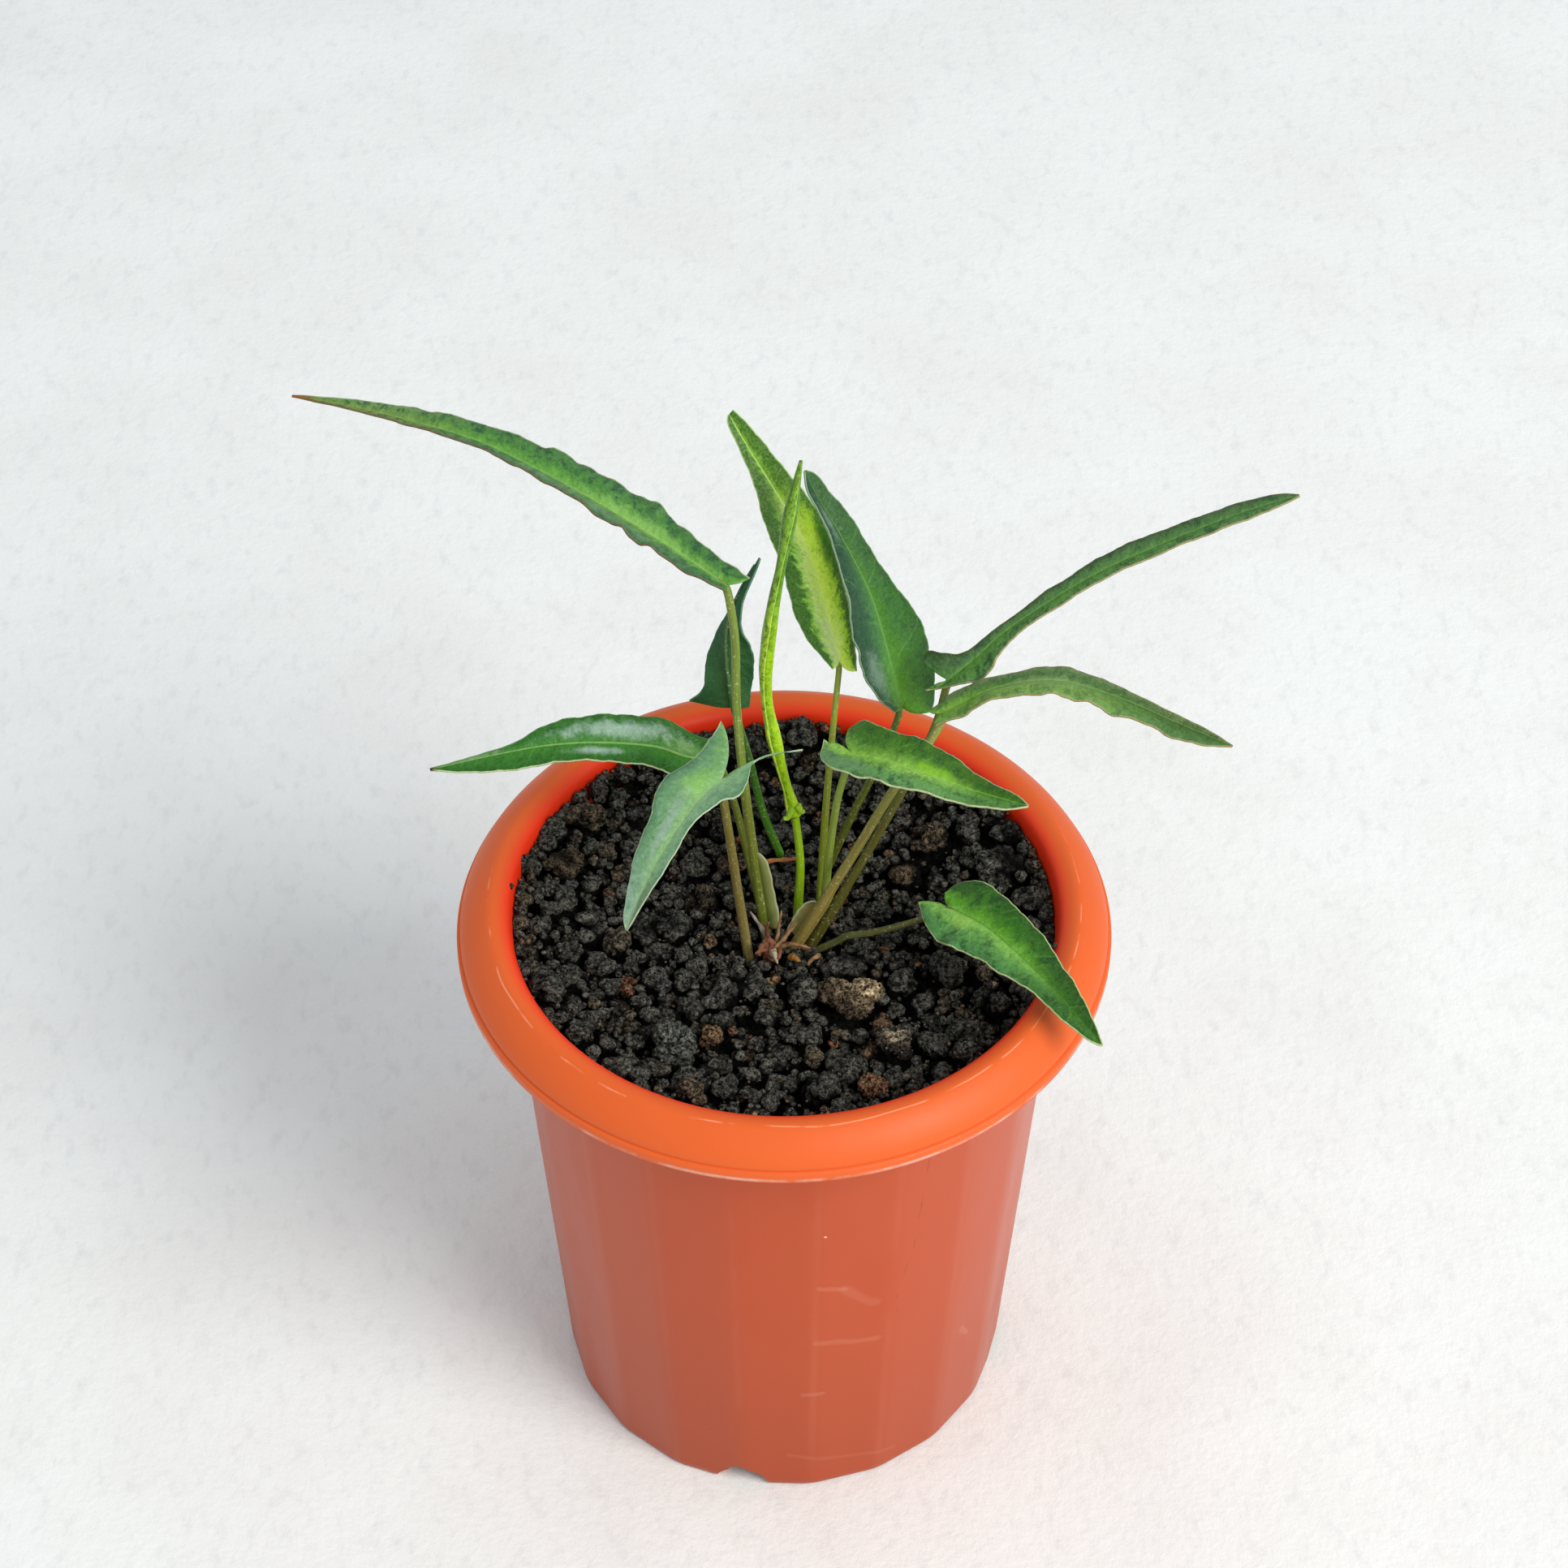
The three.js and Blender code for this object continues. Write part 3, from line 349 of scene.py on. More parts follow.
def moulded_polypropylene(settings):
    """Injection-moulded polypropylene, a few seasons old: waxy low sheen, chalky bloom on the sides, scratches
    along the rim, dust and small marks; a painted glow inside the rim and painted highlights on the flute
    corners."""
    material, add, wire = new_material("moulded_polypropylene", {
        "IOR": 1.49, "Roughness": 0.38, "Specular IOR Level": 0.32,
        "Subsurface Weight": 0.06, "Subsurface Radius": (1.0, 0.35, 0.15), "Subsurface Scale": 0.001,
    })
    here = (add("TexCoord"), "Object")
    split = add("SeparateXYZ", {}, {0: here})
    height = (split, 2)
    front = add("Math", {**TIMES, 1: -1.0}, {0: (split, 1)})
    angle = add("Math", {"operation": "ARCTAN2"}, {0: (split, 0), 1: front})
    flat = add("CombineXYZ", {}, {0: (split, 0), 1: (split, 1)})
    radius = (add("VectorMath", {"operation": "LENGTH"}, {0: flat}), 1)
    # The rim is a brighter, more saturated orange than the wall
    on_rim = add("MapRange", {**SOFT, 1: 0.1515, 2: 0.1535}, {0: height})
    off_rim = add("Math", {"operation": "SUBTRACT", 0: 1.0}, {1: on_rim})
    wall, rim = (linear(hex_of(colour)) for colour in (settings.wall_colour, settings.rim_colour))
    base = add("Mix", {**COLOUR, 6: wall, 7: rim}, {0: on_rim})
    # Painted glow: the inside of the rim is painted a deeper red, for light that has passed through the rim
    # and bounced round inside
    inside = add("MapRange", {**SOFT, 1: 0.0712, 2: 0.0668}, {0: radius})
    upper = add("MapRange", {1: 0.12, 2: 0.125}, {0: height})
    # Chalky bloom in cloudy patches about 25 mm wide, stretched down the wall
    tall = add("Mapping", {"Scale": (1.0, 1.0, 0.35)}, {0: here})
    cloud = add("TexNoise", {"Scale": 42.0, "Detail": 5.0, "Roughness": 0.6}, {0: tall})
    bloom = add("MapRange", {1: 0.42, 2: 0.75, 4: 0.09}, {0: cloud})
    # Darker towards the foot
    low_darkening = add("MapRange", {**SOFT, 1: 0.09, 2: 0.0, 4: 0.35}, {0: height})
    # Broken line along the lip, at the radius where stacked pots rub
    wander = add("TexNoise", {"Scale": 28.0, "Detail": 2.0}, {0: here})
    shift = add("Math", {**TIMES_PLUS, 1: 0.0035, 2: -0.0742}, {0: wander})
    off = add("Math", EITHER_SIDE, {0: add("Math", ADD, {0: radius, 1: shift})})
    line = add("MapRange", {**SOFT, 1: 0.00028, 2: 0.00008}, {0: off})
    facing = add("MapRange", {**SOFT, 1: -0.04, 2: 0.02}, {0: front})
    broken = add("TexNoise", {"Scale": 120.0, "Detail": 3.0}, {0: here})
    gaps = add("MapRange", {1: 0.42, 2: 0.52, 4: 0.42}, {0: broken})
    high = add("MapRange", {1: 0.159, 2: 0.160}, {0: height})
    # Scuffed edge of the flange under the rim
    below_edge = add("Math", {"operation": "SUBTRACT", 1: 0.1534}, {0: height})
    edge = add("MapRange", {**SOFT, 1: 0.0007, 2: 0.0002}, {0: add("Math", EITHER_SIDE, {0: below_edge})})
    outer = add("MapRange", {1: 0.0795, 2: 0.0801}, {0: radius})
    rubbed = add("TexNoise", {"Scale": 55.0, "Detail": 6.0, "Roughness": 0.7}, {0: here})
    rubbed = add("MapRange", {1: 0.45, 2: 0.6, 4: 0.6}, {0: rubbed})
    # Painted highlights: thin pale lines at the corners between the flutes, here and there, where the facets
    # catch the light
    turns = {1: FLUTES / (2 * math.pi), 2: -FLUTE_START * FLUTES / 360}
    corner = add("Math", {**TIMES_PLUS, **turns}, {0: angle})
    corner = add("Math", {"operation": "PINGPONG", 1: 0.5}, {0: corner})
    corner = add("MapRange", {**SOFT, 1: 0.08, 2: 0.01, 4: 0.06}, {0: corner})
    here_and_there = add("MapRange", {1: 0.4, 2: 0.62}, {0: cloud})
    coats = []
    for colour, mask, *limits in (
        # Painted glow inside the rim
        ("#F0340E", inside, upper, on_rim),
        ("#C4805E", bloom, off_rim),
        ("#96401C", low_darkening),
        ("#F5B795", line, facing, gaps, high),
        ("#E9BFB0", edge, outer, rubbed),
        # Painted highlights at the flute corners
        ("#DE9A80", corner, here_and_there, off_rim),
    ):
        for limit in limits:
            mask = add("Math", TIMES, {0: mask, 1: limit})
        coats.append((mask, colour))
    # Scratches and scuffs on the front, each a straight run that wanders a little
    around = add("Math", {**TIMES, 1: WALL_RADIUS * MM}, {0: angle})
    sheet = add("CombineXYZ", {}, {0: around, 1: height})
    sway = add("TexNoise", {"Scale": 90.0, "Detail": 3.0}, {0: here})
    sway = add("VectorMath", {**TIMES_PLUS, 1: (0.003,) * 3, 2: (-0.0015,) * 3}, {0: (sway, 1)})
    sheet = add("VectorMath", ADD, {0: sheet, 1: sway})
    for start, end, half, colour, strength in WALL_MARKS:
        a, b = (Vector((math.radians(turn) * WALL_RADIUS, z, 0)) * MM for turn, z in (start, end))
        way = b - a
        off = add("VectorMath", {"operation": "SUBTRACT", 1: a}, {0: sheet})
        along = add("VectorMath", {"operation": "DOT_PRODUCT", 1: way / way.length_squared}, {0: off})
        along = add("MapRange", {}, {0: (along, 1)})
        nearest = add("VectorMath", {"operation": "SCALE", 0: way}, {3: along})
        gap = add("VectorMath", {"operation": "DISTANCE"}, {0: off, 1: nearest})
        width = {1: half * MM, 2: half * MM * 0.3}
        coats.append((add("MapRange", {**SOFT, **width, 4: strength}, {0: (gap, 1)}), colour))
    marked = lay_coats(add, base, coats)
    # Dust specks and crumbs of dirt, about half a millimetre
    cells = add("TexVoronoi", {"Scale": 95.0}, {0: here})
    pick = add("SeparateColor", {}, {0: (cells, "Color")})
    chosen = add("Math", {**ABOVE, 1: 0.88}, {0: (pick, 0)})
    spot = add("MapRange", {1: 0.045, 2: 0.03}, {0: (cells, "Distance")})
    spot = add("Math", TIMES, {0: spot, 1: chosen})
    tint = add("Math", {**ABOVE, 1: 0.35}, {0: (pick, 1)})
    speck = add("Mix", {**COLOUR, 6: linear("#3A1E16"), 7: linear("#F0C8B4")}, {0: tint})
    final = add("Mix", COLOUR, {0: spot, 6: (marked, 2), 7: (speck, 2)})
    dull = add("MapRange", {1: 0.3, 2: 0.75, 3: 0.27, 4: 0.42}, {0: cloud})
    dull = add("Math", {**TIMES_PLUS, 1: 0.14}, {0: on_rim, 2: dull})
    # Mould texture: fine orange peel about 0.5 mm across, drawn a little coarser
    peel = add("TexNoise", {"Scale": 900.0, "Detail": 2.0}, {0: here})
    bump = add("Bump", {"Strength": 0.12, "Distance": 0.0001}, {"Height": peel})
    wire({"Base Color": (final, 2), "Roughness": dull, "Normal": bump})
    return material


def volcanic_grit(name, dark, tones, cells_per_metre=1500.0):
    """Crushed black lava, tumbled and sieved: porous and dull grey, with a few rusty grains; painted shade
    makes it nearly black in the gaps between grains and in its pores, and painted glints sit on the open tops."""
    material, add, wire = new_material(name, {"IOR": 1.5, "Roughness": 0.95, "Specular IOR Level": 0.12})
    here = (add("TexCoord"), "Object")
    tone = add("Attribute", {"attribute_name": "tone"})
    ramp = set_ramp(add("ValToRGB", {}, {0: (tone, "Fac")}), tones)
    # Crust: rough patches under a millimetre
    grain = add("TexNoise", {"Scale": 1000.0, "Detail": 8.0, "Roughness": 0.82}, {0: here})
    crust = add("MapRange", {"clamp": False, 1: 0.4, 2: 0.6, 3: -1.0, 4: 3.7}, {0: grain})
    crust = add("Math", {"operation": "MAXIMUM", 1: 0.05}, {0: crust})
    rough = add("Mix", SHADE, {6: ramp, 7: crust})
    # Painted shade: nearly black in the gaps between grains, by how open to the air each point is
    open_air = (add("Attribute", {"attribute_name": "open_air"}), "Fac")
    gap_shade = add("MapRange", {3: 0.01, 4: 1.0}, {0: open_air})
    shaded = add("Mix", SHADE, {6: (rough, 2), 7: gap_shade})
    # Gas pores, 0.2 to 0.6 mm wide, in half of the cells, painted dark for the shade inside them
    pores = add("TexVoronoi", {"Scale": cells_per_metre}, {0: here})
    hole = add("MapRange", {1: 0.34, 2: 0.14, 4: 0.9}, {0: (pores, "Distance")})
    some = add("SeparateColor", {}, {0: (pores, "Color")})
    open_pore = add("Math", {**ABOVE, 1: 0.45}, {0: some})
    hole = add("Math", TIMES, {0: hole, 1: open_pore})
    # Painted glints: pale glassy specks, 0.2 mm, in one cell in a dozen, only where open to the air
    picked = add("Math", {"operation": "LESS_THAN", 1: 0.08}, {0: some})
    glint = add("MapRange", {1: 0.3, 2: 0.16, 4: 0.75}, {0: (pores, "Distance")})
    for limit in (picked, open_air):
        glint = add("Math", TIMES, {0: glint, 1: limit})
    final = lay_coats(add, shaded, [(hole, dark), (glint, "#A9A89C")])
    relief = add("Math", {**TIMES_PLUS, 1: -0.8}, {0: hole, 2: grain})
    bump = add("Bump", {"Strength": 1.0, "Distance": 0.0009}, {"Height": relief})
    wire({"Base Color": (final, 2), "Normal": bump})
    return material


# What a blade looks like where its own look says nothing else. Bands and patches count across the blade from -1
# at the left margin to 1 at the right one, and along it from 0 at the petiole to 1 at the tip.
PLAIN_BLADE = dict(
    glow=0.15,  # light that comes through
    tip_bands=None, change=(0.4, 0.85),  # colours near the tip, and where they take over
    ragged=0.9, streak=40.0, stretch=0.6,  # how far the bands fray, how finely, and how long the streaks are
    heart=("#62A418", 0.0, 0.3),  # bright foot: colour, strength and reach
    grain=0.5,
    mottle=0.6, mottle_from=0.5, islands=40.0, dark="#1F4A35",  # dark mottling
    veins=0.2, vein_step=7.5, vein="#6A9A4E",  # side veins: strength, spacing in millimetres and colour
    rib_strength=0.6,
    patches=(),  # share, run, reach across and along, colour and strength
    tip=None, tip_from=0.97,  # dry tip
    under="#5E8F62",  # tint of the underside
    gloss=0.38,
)


def leaf_lamina(name, look, underside=False):
    """Living leaf blade, thin and waxy: colour in bands from midrib to margin that change towards the tip,
    clouded with dark mottling, with a paler midrib, a thin margin and a few patches of colour and of painted
    sheen."""
    look = {**PLAIN_BLADE, **look}
    # Light that enters one face of the thin blade comes out of the other
    material, add, wire = new_material(name, {
        "IOR": 1.45, "Roughness": 0.42, "Specular IOR Level": 0.26,
        "Subsurface Weight": look["glow"], "Subsurface Radius": PLANT_DEPTHS, "Subsurface Scale": 0.0008,
    })
    place = add("SeparateXYZ", {}, {0: add("UVMap", {"uv_map": "place"})})
    flat_map = add("UVMap", {"uv_map": "flat"})
    rim = add("SeparateXYZ", {}, {0: add("UVMap", {"uv_map": "edge"})})
    share, run = (place, 0), (place, 1)
    off_rib = add("Math", EITHER_SIDE, {0: share})
    # The pattern wanders by a millimetre or so; the flat map counts in 100 mm
    seeded = add("VectorMath", {**ADD, 1: (0, 0, look["seed"])}, {0: flat_map})
    wander = add("TexNoise", {"Scale": 22.0, "Detail": 3.0}, {0: seeded})
    wander = add("VectorMath", {**TIMES_PLUS, 1: (0.04,) * 3, 2: (-0.02,) * 3}, {0: (wander, 1)})
    moved = add("VectorMath", ADD, {0: seeded, 1: wander})
    bent = add("SeparateXYZ", {}, {0: moved})
    flat = add("SeparateXYZ", {}, {0: flat_map})
    out = add("Math", EITHER_SIDE, {0: (flat, 0)})
    # Side veins leave the midrib forwards: this counts along them
    vein = add("Math", {**TIMES_PLUS, 1: -0.8}, {0: out, 2: (bent, 1)})
    drawn = add("CombineXYZ", {2: look["seed"]}, {0: vein, 1: (bent, 0)})
    drawn = add("Mapping", {"Scale": (1.0, look["stretch"], 1.0)}, {0: drawn})
    streak = add("TexNoise", {"Scale": look["streak"], "Detail": 8.0, "Roughness": 0.72}, {0: drawn})
    ragged = look["ragged"]
    shift = add("Math", {**TIMES_PLUS, 1: ragged, 2: -ragged / 2}, {0: streak})
    spread = add("Math", ADD, {0: share, 1: shift})
    spread = add("Math", {**TIMES_PLUS, 1: 0.5, 2: 0.5}, {0: spread})
    bands, tip_bands = (
        set_ramp(add("ValToRGB", {}, {0: spread}), [((at + 1) / 2, colour) for at, colour in stops])
        for stops in (look["bands"], look["tip_bands"] or look["bands"])
    )
    start, end = look["change"]
    change = add("MapRange", {**SOFT, 1: start, 2: end}, {0: run})
    base = add("Mix", COLOUR, {0: change, 6: bands, 7: tip_bands})
    # Brighter heart, where the side veins leave the foot of the midrib
    colour, strength, reach = look["heart"]
    heart = add("MapRange", {**SOFT, 1: reach, 2: 0.0, 4: strength}, {0: run})
    inner = add("MapRange", {**SOFT, 1: 0.85, 2: 0.1}, {0: off_rib})
    heart = add("Math", TIMES, {0: heart, 1: inner})
    warm = lay_coats(add, base, [(heart, colour)])
    # Fine grain of the green tissue, 0.5 to 2 mm
    grain = add("TexNoise", {"Scale": 110.0, "Detail": 6.0, "Roughness": 0.7}, {0: seeded})
    depth = look["grain"] / 2
    grain = add("MapRange", {"clamp": False, 1: 0.3, 2: 0.7, 3: 1 - depth, 4: 1 + depth}, {0: grain})
    warm = add("Mix", SHADE, {6: (warm, 2), 7: grain})
    # Dark mottling in small islands, mostly away from the midrib
    islands = add("TexNoise", {"Scale": look["islands"], "Detail": 9.0, "Roughness": 0.76}, {0: moved})
    low = look["mottle_from"]
    islands = add("MapRange", {1: low, 2: low + 0.1, 4: look["mottle"]}, {0: islands})
    away = add("MapRange", {1: 0.05, 2: 0.5, 3: 0.15, 4: 1.0}, {0: off_rib})
    islands = add("Math", TIMES, {0: islands, 1: away})
    # Cells of the blade, about half a millimetre, as a fine tint
    cells = add("TexVoronoi", {"Scale": 170.0}, {0: moved})
    cell = add("MapRange", {1: 0.25, 2: 0.75, 4: 0.1}, {0: (cells, "Distance")})
    coats = [(islands, look["dark"]), (cell, look["vein"])]
    # Patches of colour, and patches of painted sheen: pale reflections where the waxy surface catches the light
    cloud = add("TexNoise", {"Scale": 32.0, "Detail": 7.0, "Roughness": 0.66}, {0: seeded})
    for at_share, at_run, wide, long, colour, strength in look["patches"]:
        x = add("Math", {**TIMES_PLUS, 1: 1 / wide, 2: -at_share / wide}, {0: share})
        y = add("Math", {**TIMES_PLUS, 1: 1 / long, 2: -at_run / long}, {0: run})
        away = add("VectorMath", {"operation": "LENGTH"}, {0: add("CombineXYZ", {}, {0: x, 1: y})})
        away = add("Math", {**TIMES_PLUS, 1: 1.8}, {0: cloud, 2: (away, 1)})
        away = add("Math", {**TIMES_PLUS, 1: 1.4}, {0: streak, 2: away})
        coats.append((add("MapRange", {**SOFT, 1: 2.8, 2: 1.7, 4: strength}, {0: away}), colour))
    # A few side veins, as thin paler lines that come and go
    count = add("Math", {**TIMES, 1: 100 / look["vein_step"]}, {0: vein})
    fold = add("Math", {"operation": "PINGPONG", 1: 0.5}, {0: count})
    thin = add("MapRange", {**SOFT, 1: 0.035, 2: 0.0, 4: look["veins"]}, {0: fold})
    fade = add("TexNoise", {"Scale": 12.0, "Detail": 2.0}, {0: seeded})
    fade = add("MapRange", {1: 0.42, 2: 0.58}, {0: fade})
    thin = add("Math", TIMES, {0: thin, 1: fade})
    # Midrib, about 0.8 mm wide at the base and thinner to the tip
    width = add("MapRange", {3: 0.005, 4: 0.0016}, {0: run})
    half = add("Math", {"operation": "DIVIDE"}, {0: out, 1: width})
    centre = add("MapRange", {**SOFT, 1: 1.1, 2: 0.3, 4: look["rib_strength"]}, {0: half})
    final = lay_coats(add, warm, [*coats, (thin, look["vein"]), (centre, look["rib"])])
    # Margin, about 0.2 mm, with a colour for each side
    thick = add("MapRange", {**SOFT, 1: 0.0034, 2: 0.0014, 4: 0.85}, {0: (rim, 0)})
    left, right = (linear(colour) for colour in look["margin"])
    margin = add("Mix", {**COLOUR, 6: left, 7: right}, {0: add("Math", {**ABOVE, 1: 0.0}, {0: share})})
    final = add("Mix", COLOUR, {0: thick, 6: (final, 2), 7: (margin, 2)})
    if look["tip"]:
        dry = add("MapRange", {**SOFT, 1: look["tip_from"], 2: 1.0}, {0: run})
        final = lay_coats(add, final, [(dry, look["tip"])])
    if underside:
        final = add("Mix", {**COLOUR, 0: 0.6, 7: linear(look["under"])}, {6: (final, 2)})
    # Wax: glossier and duller patches, 2 to 6 mm
    wax = add("TexNoise", {"Scale": 28.0, "Detail": 6.0, "Roughness": 0.6}, {0: seeded})
    gloss = look["gloss"]
    dull = add("MapRange", {1: 0.35, 2: 0.65, 3: gloss - 0.1, 4: gloss + 0.12}, {0: wax})
    # Blistered surface between the veins, over fine cells
    blister = add("TexNoise", {"Scale": 38.0, "Detail": 4.0, "Roughness": 0.55}, {0: moved})
    groove = add("MapRange", {**SOFT, 1: 0.0, 2: 0.3, 4: 0.15}, {0: fold})
    relief = add("Math", {**TIMES_PLUS, 1: 1.8}, {0: blister, 2: groove})
    relief = add("Math", {**TIMES_PLUS, 1: 0.12}, {0: (cells, "Distance"), 2: relief})
    bump = add("Bump", {"Strength": 0.6, "Distance": 0.0007}, {"Height": relief})
    wire({"Base Color": (final, 2), "Roughness": dull, "Normal": bump})
    return material


def leaf_stalk(name, low, high, stripe, dullness=0.45):
    """Fleshy leaf stalk: colour changes from the ground up, with fine lengthwise stripes and pale flecks."""
    material, add, wire = new_material(name, {
        "IOR": 1.45, "Roughness": dullness,
        "Subsurface Weight": 0.2, "Subsurface Radius": PLANT_DEPTHS, "Subsurface Scale": 0.001,
    })
    wrap = add("UVMap", {"uv_map": "wrap"})
    split = add("SeparateXYZ", {}, {0: wrap})
    rise = add("MapRange", {1: 0.1, 2: 0.85}, {0: (split, 1)})
    base = add("Mix", {**COLOUR, 6: linear(low), 7: linear(high)}, {0: rise})
    drawn = add("Mapping", {"Scale": (22.0, 3.5, 1.0)}, {0: wrap})
    grown = add("TexNoise", {"Scale": 1.0, "Detail": 5.0, "Roughness": 0.65}, {0: drawn})
    lines = add("MapRange", {1: 0.5, 2: 0.6, 4: 0.5}, {0: grown})
    light = add("MapRange", {1: 0.42, 2: 0.32, 4: 0.4}, {0: grown})
    flecks = add("TexNoise", {"Scale": 1500.0, "Detail": 1.0}, {0: (add("TexCoord"), "Object")})
    flecks = add("MapRange", {1: 0.62, 2: 0.7, 4: 0.5}, {0: flecks})
    final = lay_coats(add, base, [(lines, stripe), (light, "#C4CC94"), (flecks, "#C9C79A")])
    bump = add("Bump", {"Strength": 0.35, "Distance": 0.0002}, {"Height": lines})
    wire({"Base Color": (final, 2), "Normal": bump})
    return material


def papery_sheath(name, green):
    """Papery sheath that wrapped the next leaf: green at the stem, dried pale towards its edge, and ribbed
    lengthwise."""
    material, add, wire = new_material(name, {"IOR": 1.45, "Roughness": 0.6})
    split = add("SeparateXYZ", {}, {0: add("UVMap", {"uv_map": "wrap"})})
    drawn = add("Math", {**TIMES, 1: 0.12}, {0: (split, 1)})
    across = add("CombineXYZ", {}, {0: (split, 0), 1: drawn})
    ribs = add("TexNoise", {"Scale": 9.0, "Detail": 5.0, "Roughness": 0.6}, {0: across})
    shift = add("Math", {**TIMES_PLUS, 1: 0.7, 2: -0.35}, {0: ribs})
    share = add("Math", ADD, {0: (split, 0), 1: shift})
    tint = add("MapRange", {**SOFT, 1: 0.05, 2: 1.05}, {0: share})
    base = add("Mix", {**COLOUR, 6: linear(green), 7: linear("#7E8652")}, {0: tint})
    brim = add("MapRange", {1: 0.84, 2: 0.96, 4: 0.6}, {0: (split, 0)})
    final = lay_coats(add, base, [(brim, "#C2C6A0")])
    bump = add("Bump", {"Strength": 0.5, "Distance": 0.0003}, {"Height": ribs})
    wire({"Base Color": (final, 2), "Normal": bump})
    return material


def dry_fibre(name, colour, other):
    """Dead plant tissue, dried and split along its fibres."""
    material, add, wire = new_material(name, {"IOR": 1.45, "Roughness": 0.8})
    drawn = add("Mapping", {"Scale": (1.0, 1.0, 0.3)}, {0: (add("TexCoord"), "Object")})
    noise = add("TexNoise", {"Scale": 700.0, "Detail": 5.0, "Roughness": 0.65}, {0: drawn})
    mask = add("MapRange", {1: 0.4, 2: 0.62}, {0: noise})
    mixed = add("Mix", {**COLOUR, 6: linear(colour), 7: linear(other)}, {0: mask})
    bump = add("Bump", {"Strength": 0.6, "Distance": 0.0003}, {"Height": noise})
    wire({"Base Color": (mixed, 2), "Normal": bump})
    return material


def lime_plaster(colour):
    """Lime-washed plaster board under the pot: matt, nearly white, with a faint trowelled grain."""
    material, add, wire = new_material("lime_plaster", {"Roughness": 0.95, "Specular IOR Level": 0.2})
    here = (add("TexCoord"), "Object")
    cloud = add("TexNoise", {"Scale": 14.0, "Detail": 6.0, "Roughness": 0.6}, {0: here})
    cloud = add("MapRange", {1: 0.4, 2: 0.65, 4: 0.45}, {0: cloud})
    base = add("Mix", {**COLOUR, 6: linear(colour), 7: linear("#E4E6E6")}, {0: cloud})
    # Trowel marks 2 to 5 mm long and grey specks of 1 to 2 mm
    drawn = add("Mapping", {"Rotation": (0, 0, 0.5), "Scale": (1.0, 0.5, 1.0)}, {0: here})
    marks = add("TexNoise", {"Scale": 230.0, "Detail": 4.0, "Roughness": 0.6}, {0: drawn})
    speck = add("MapRange", {1: 0.52, 2: 0.72, 4: 0.3}, {0: marks})
    final = lay_coats(add, base, [(speck, "#CED2D6")])
    grain = add("TexNoise", {"Scale": 300.0, "Detail": 6.0, "Roughness": 0.65}, {0: here})
    bump = add("Bump", {"Strength": 0.3, "Distance": 0.0016}, {"Height": grain})
    wire({"Base Color": (final, 2), "Normal": bump})
    return material


# ---------------------------------------------------------------- pot

# Heights and radii in millimetres, turns in degrees
FLANGE_BOTTOM = 152.4
SHOULDER = 68.3
FOOT = 58.0
WALL = 1.9
FLOOR = 2.6
FLUTES = 20
FLUTE_START = 7.0
FLUTE_FADE = 0.42
# A corner between two flutes is rounded over this many degrees to each side
CORNER_ROUNDING = 2.6
NOTCH_TURNS = (-11, 79, 169, 259)
NOTCH_REACH = 9
# Upper edge of a drain notch: along the foot, and height
NOTCH_TOP = [(6.9, 0.2), (6.6, 1.8), (6.0, 3.6), (4.8, 5.0), (3.2, 5.9), (1.6, 6.4), (0.4, 7.3), (-1.2, 7.5),
             (-2.6, 6.9), (-3.6, 5.4), (-4.9, 3.9), (-6.4, 2.0), (-7.4, 0.2)]
WALL_RADIUS = 64.0
# Marks on the wall: two ends as degrees right of the front and height, half width, colour and strength
WALL_MARKS = [
    ((31.9, 132.5), (30.7, 113.5), 0.3, "#5E2418", 0.4), ((30.7, 113.5), (29.5, 95.7), 0.25, "#5E2418", 0.35),
    ((29.5, 95.7), (26.8, 81.9), 0.3, "#5E2418", 0.4), ((26.8, 81.9), (27.3, 59.9), 0.25, "#5E2418", 0.3),
    ((7.9, 90.7), (14, 88.5), 1.3, "#E0A084", 0.14), ((14, 88.5), (21.2, 79.9), 2.4, "#DCA08C", 0.09),
    ((7.3, 66.4), (22, 63.6), 1.5, "#E09A7C", 0.13), ((4.7, 43.6), (9, 43.6), 1.2, "#DCA08C", 0.14),
    ((0.8, 14.9), (29.3, 7.3), 1.1, "#D89078", 0.1), ((8.7, 113.4), (8.9, 113.2), 0.5, "#F4E4DC", 0.8),
    ((49.5, 44), (52, 39), 1.4, "#E8B4A0", 0.12),
]


def wall_radius(z):
    """Outer radius of the straight wall at a height."""
    return FOOT + (SHOULDER - FOOT) * z / FLANGE_BOTTOM


def flute(angle, z):
    """Share of the radius left by the flat flutes, which grow rounder upwards; the corners are softened."""
    pitch = 2 * np.pi / FLUTES
    total = 0
    softening = np.radians(np.linspace(-CORNER_ROUNDING, CORNER_ROUNDING, 9))
    for turn in softening:
        local = angle + turn + np.pi / 2 - math.radians(FLUTE_START)
        across = local - pitch * np.round(local / pitch - 0.5) - pitch / 2
        total = total + np.cos(pitch / 2) / np.cos(across)
    depth = 1 - FLUTE_FADE * np.clip(z / FLANGE_BOTTOM, 0, 1)
    return 1 - (1 - total / len(softening)) * depth


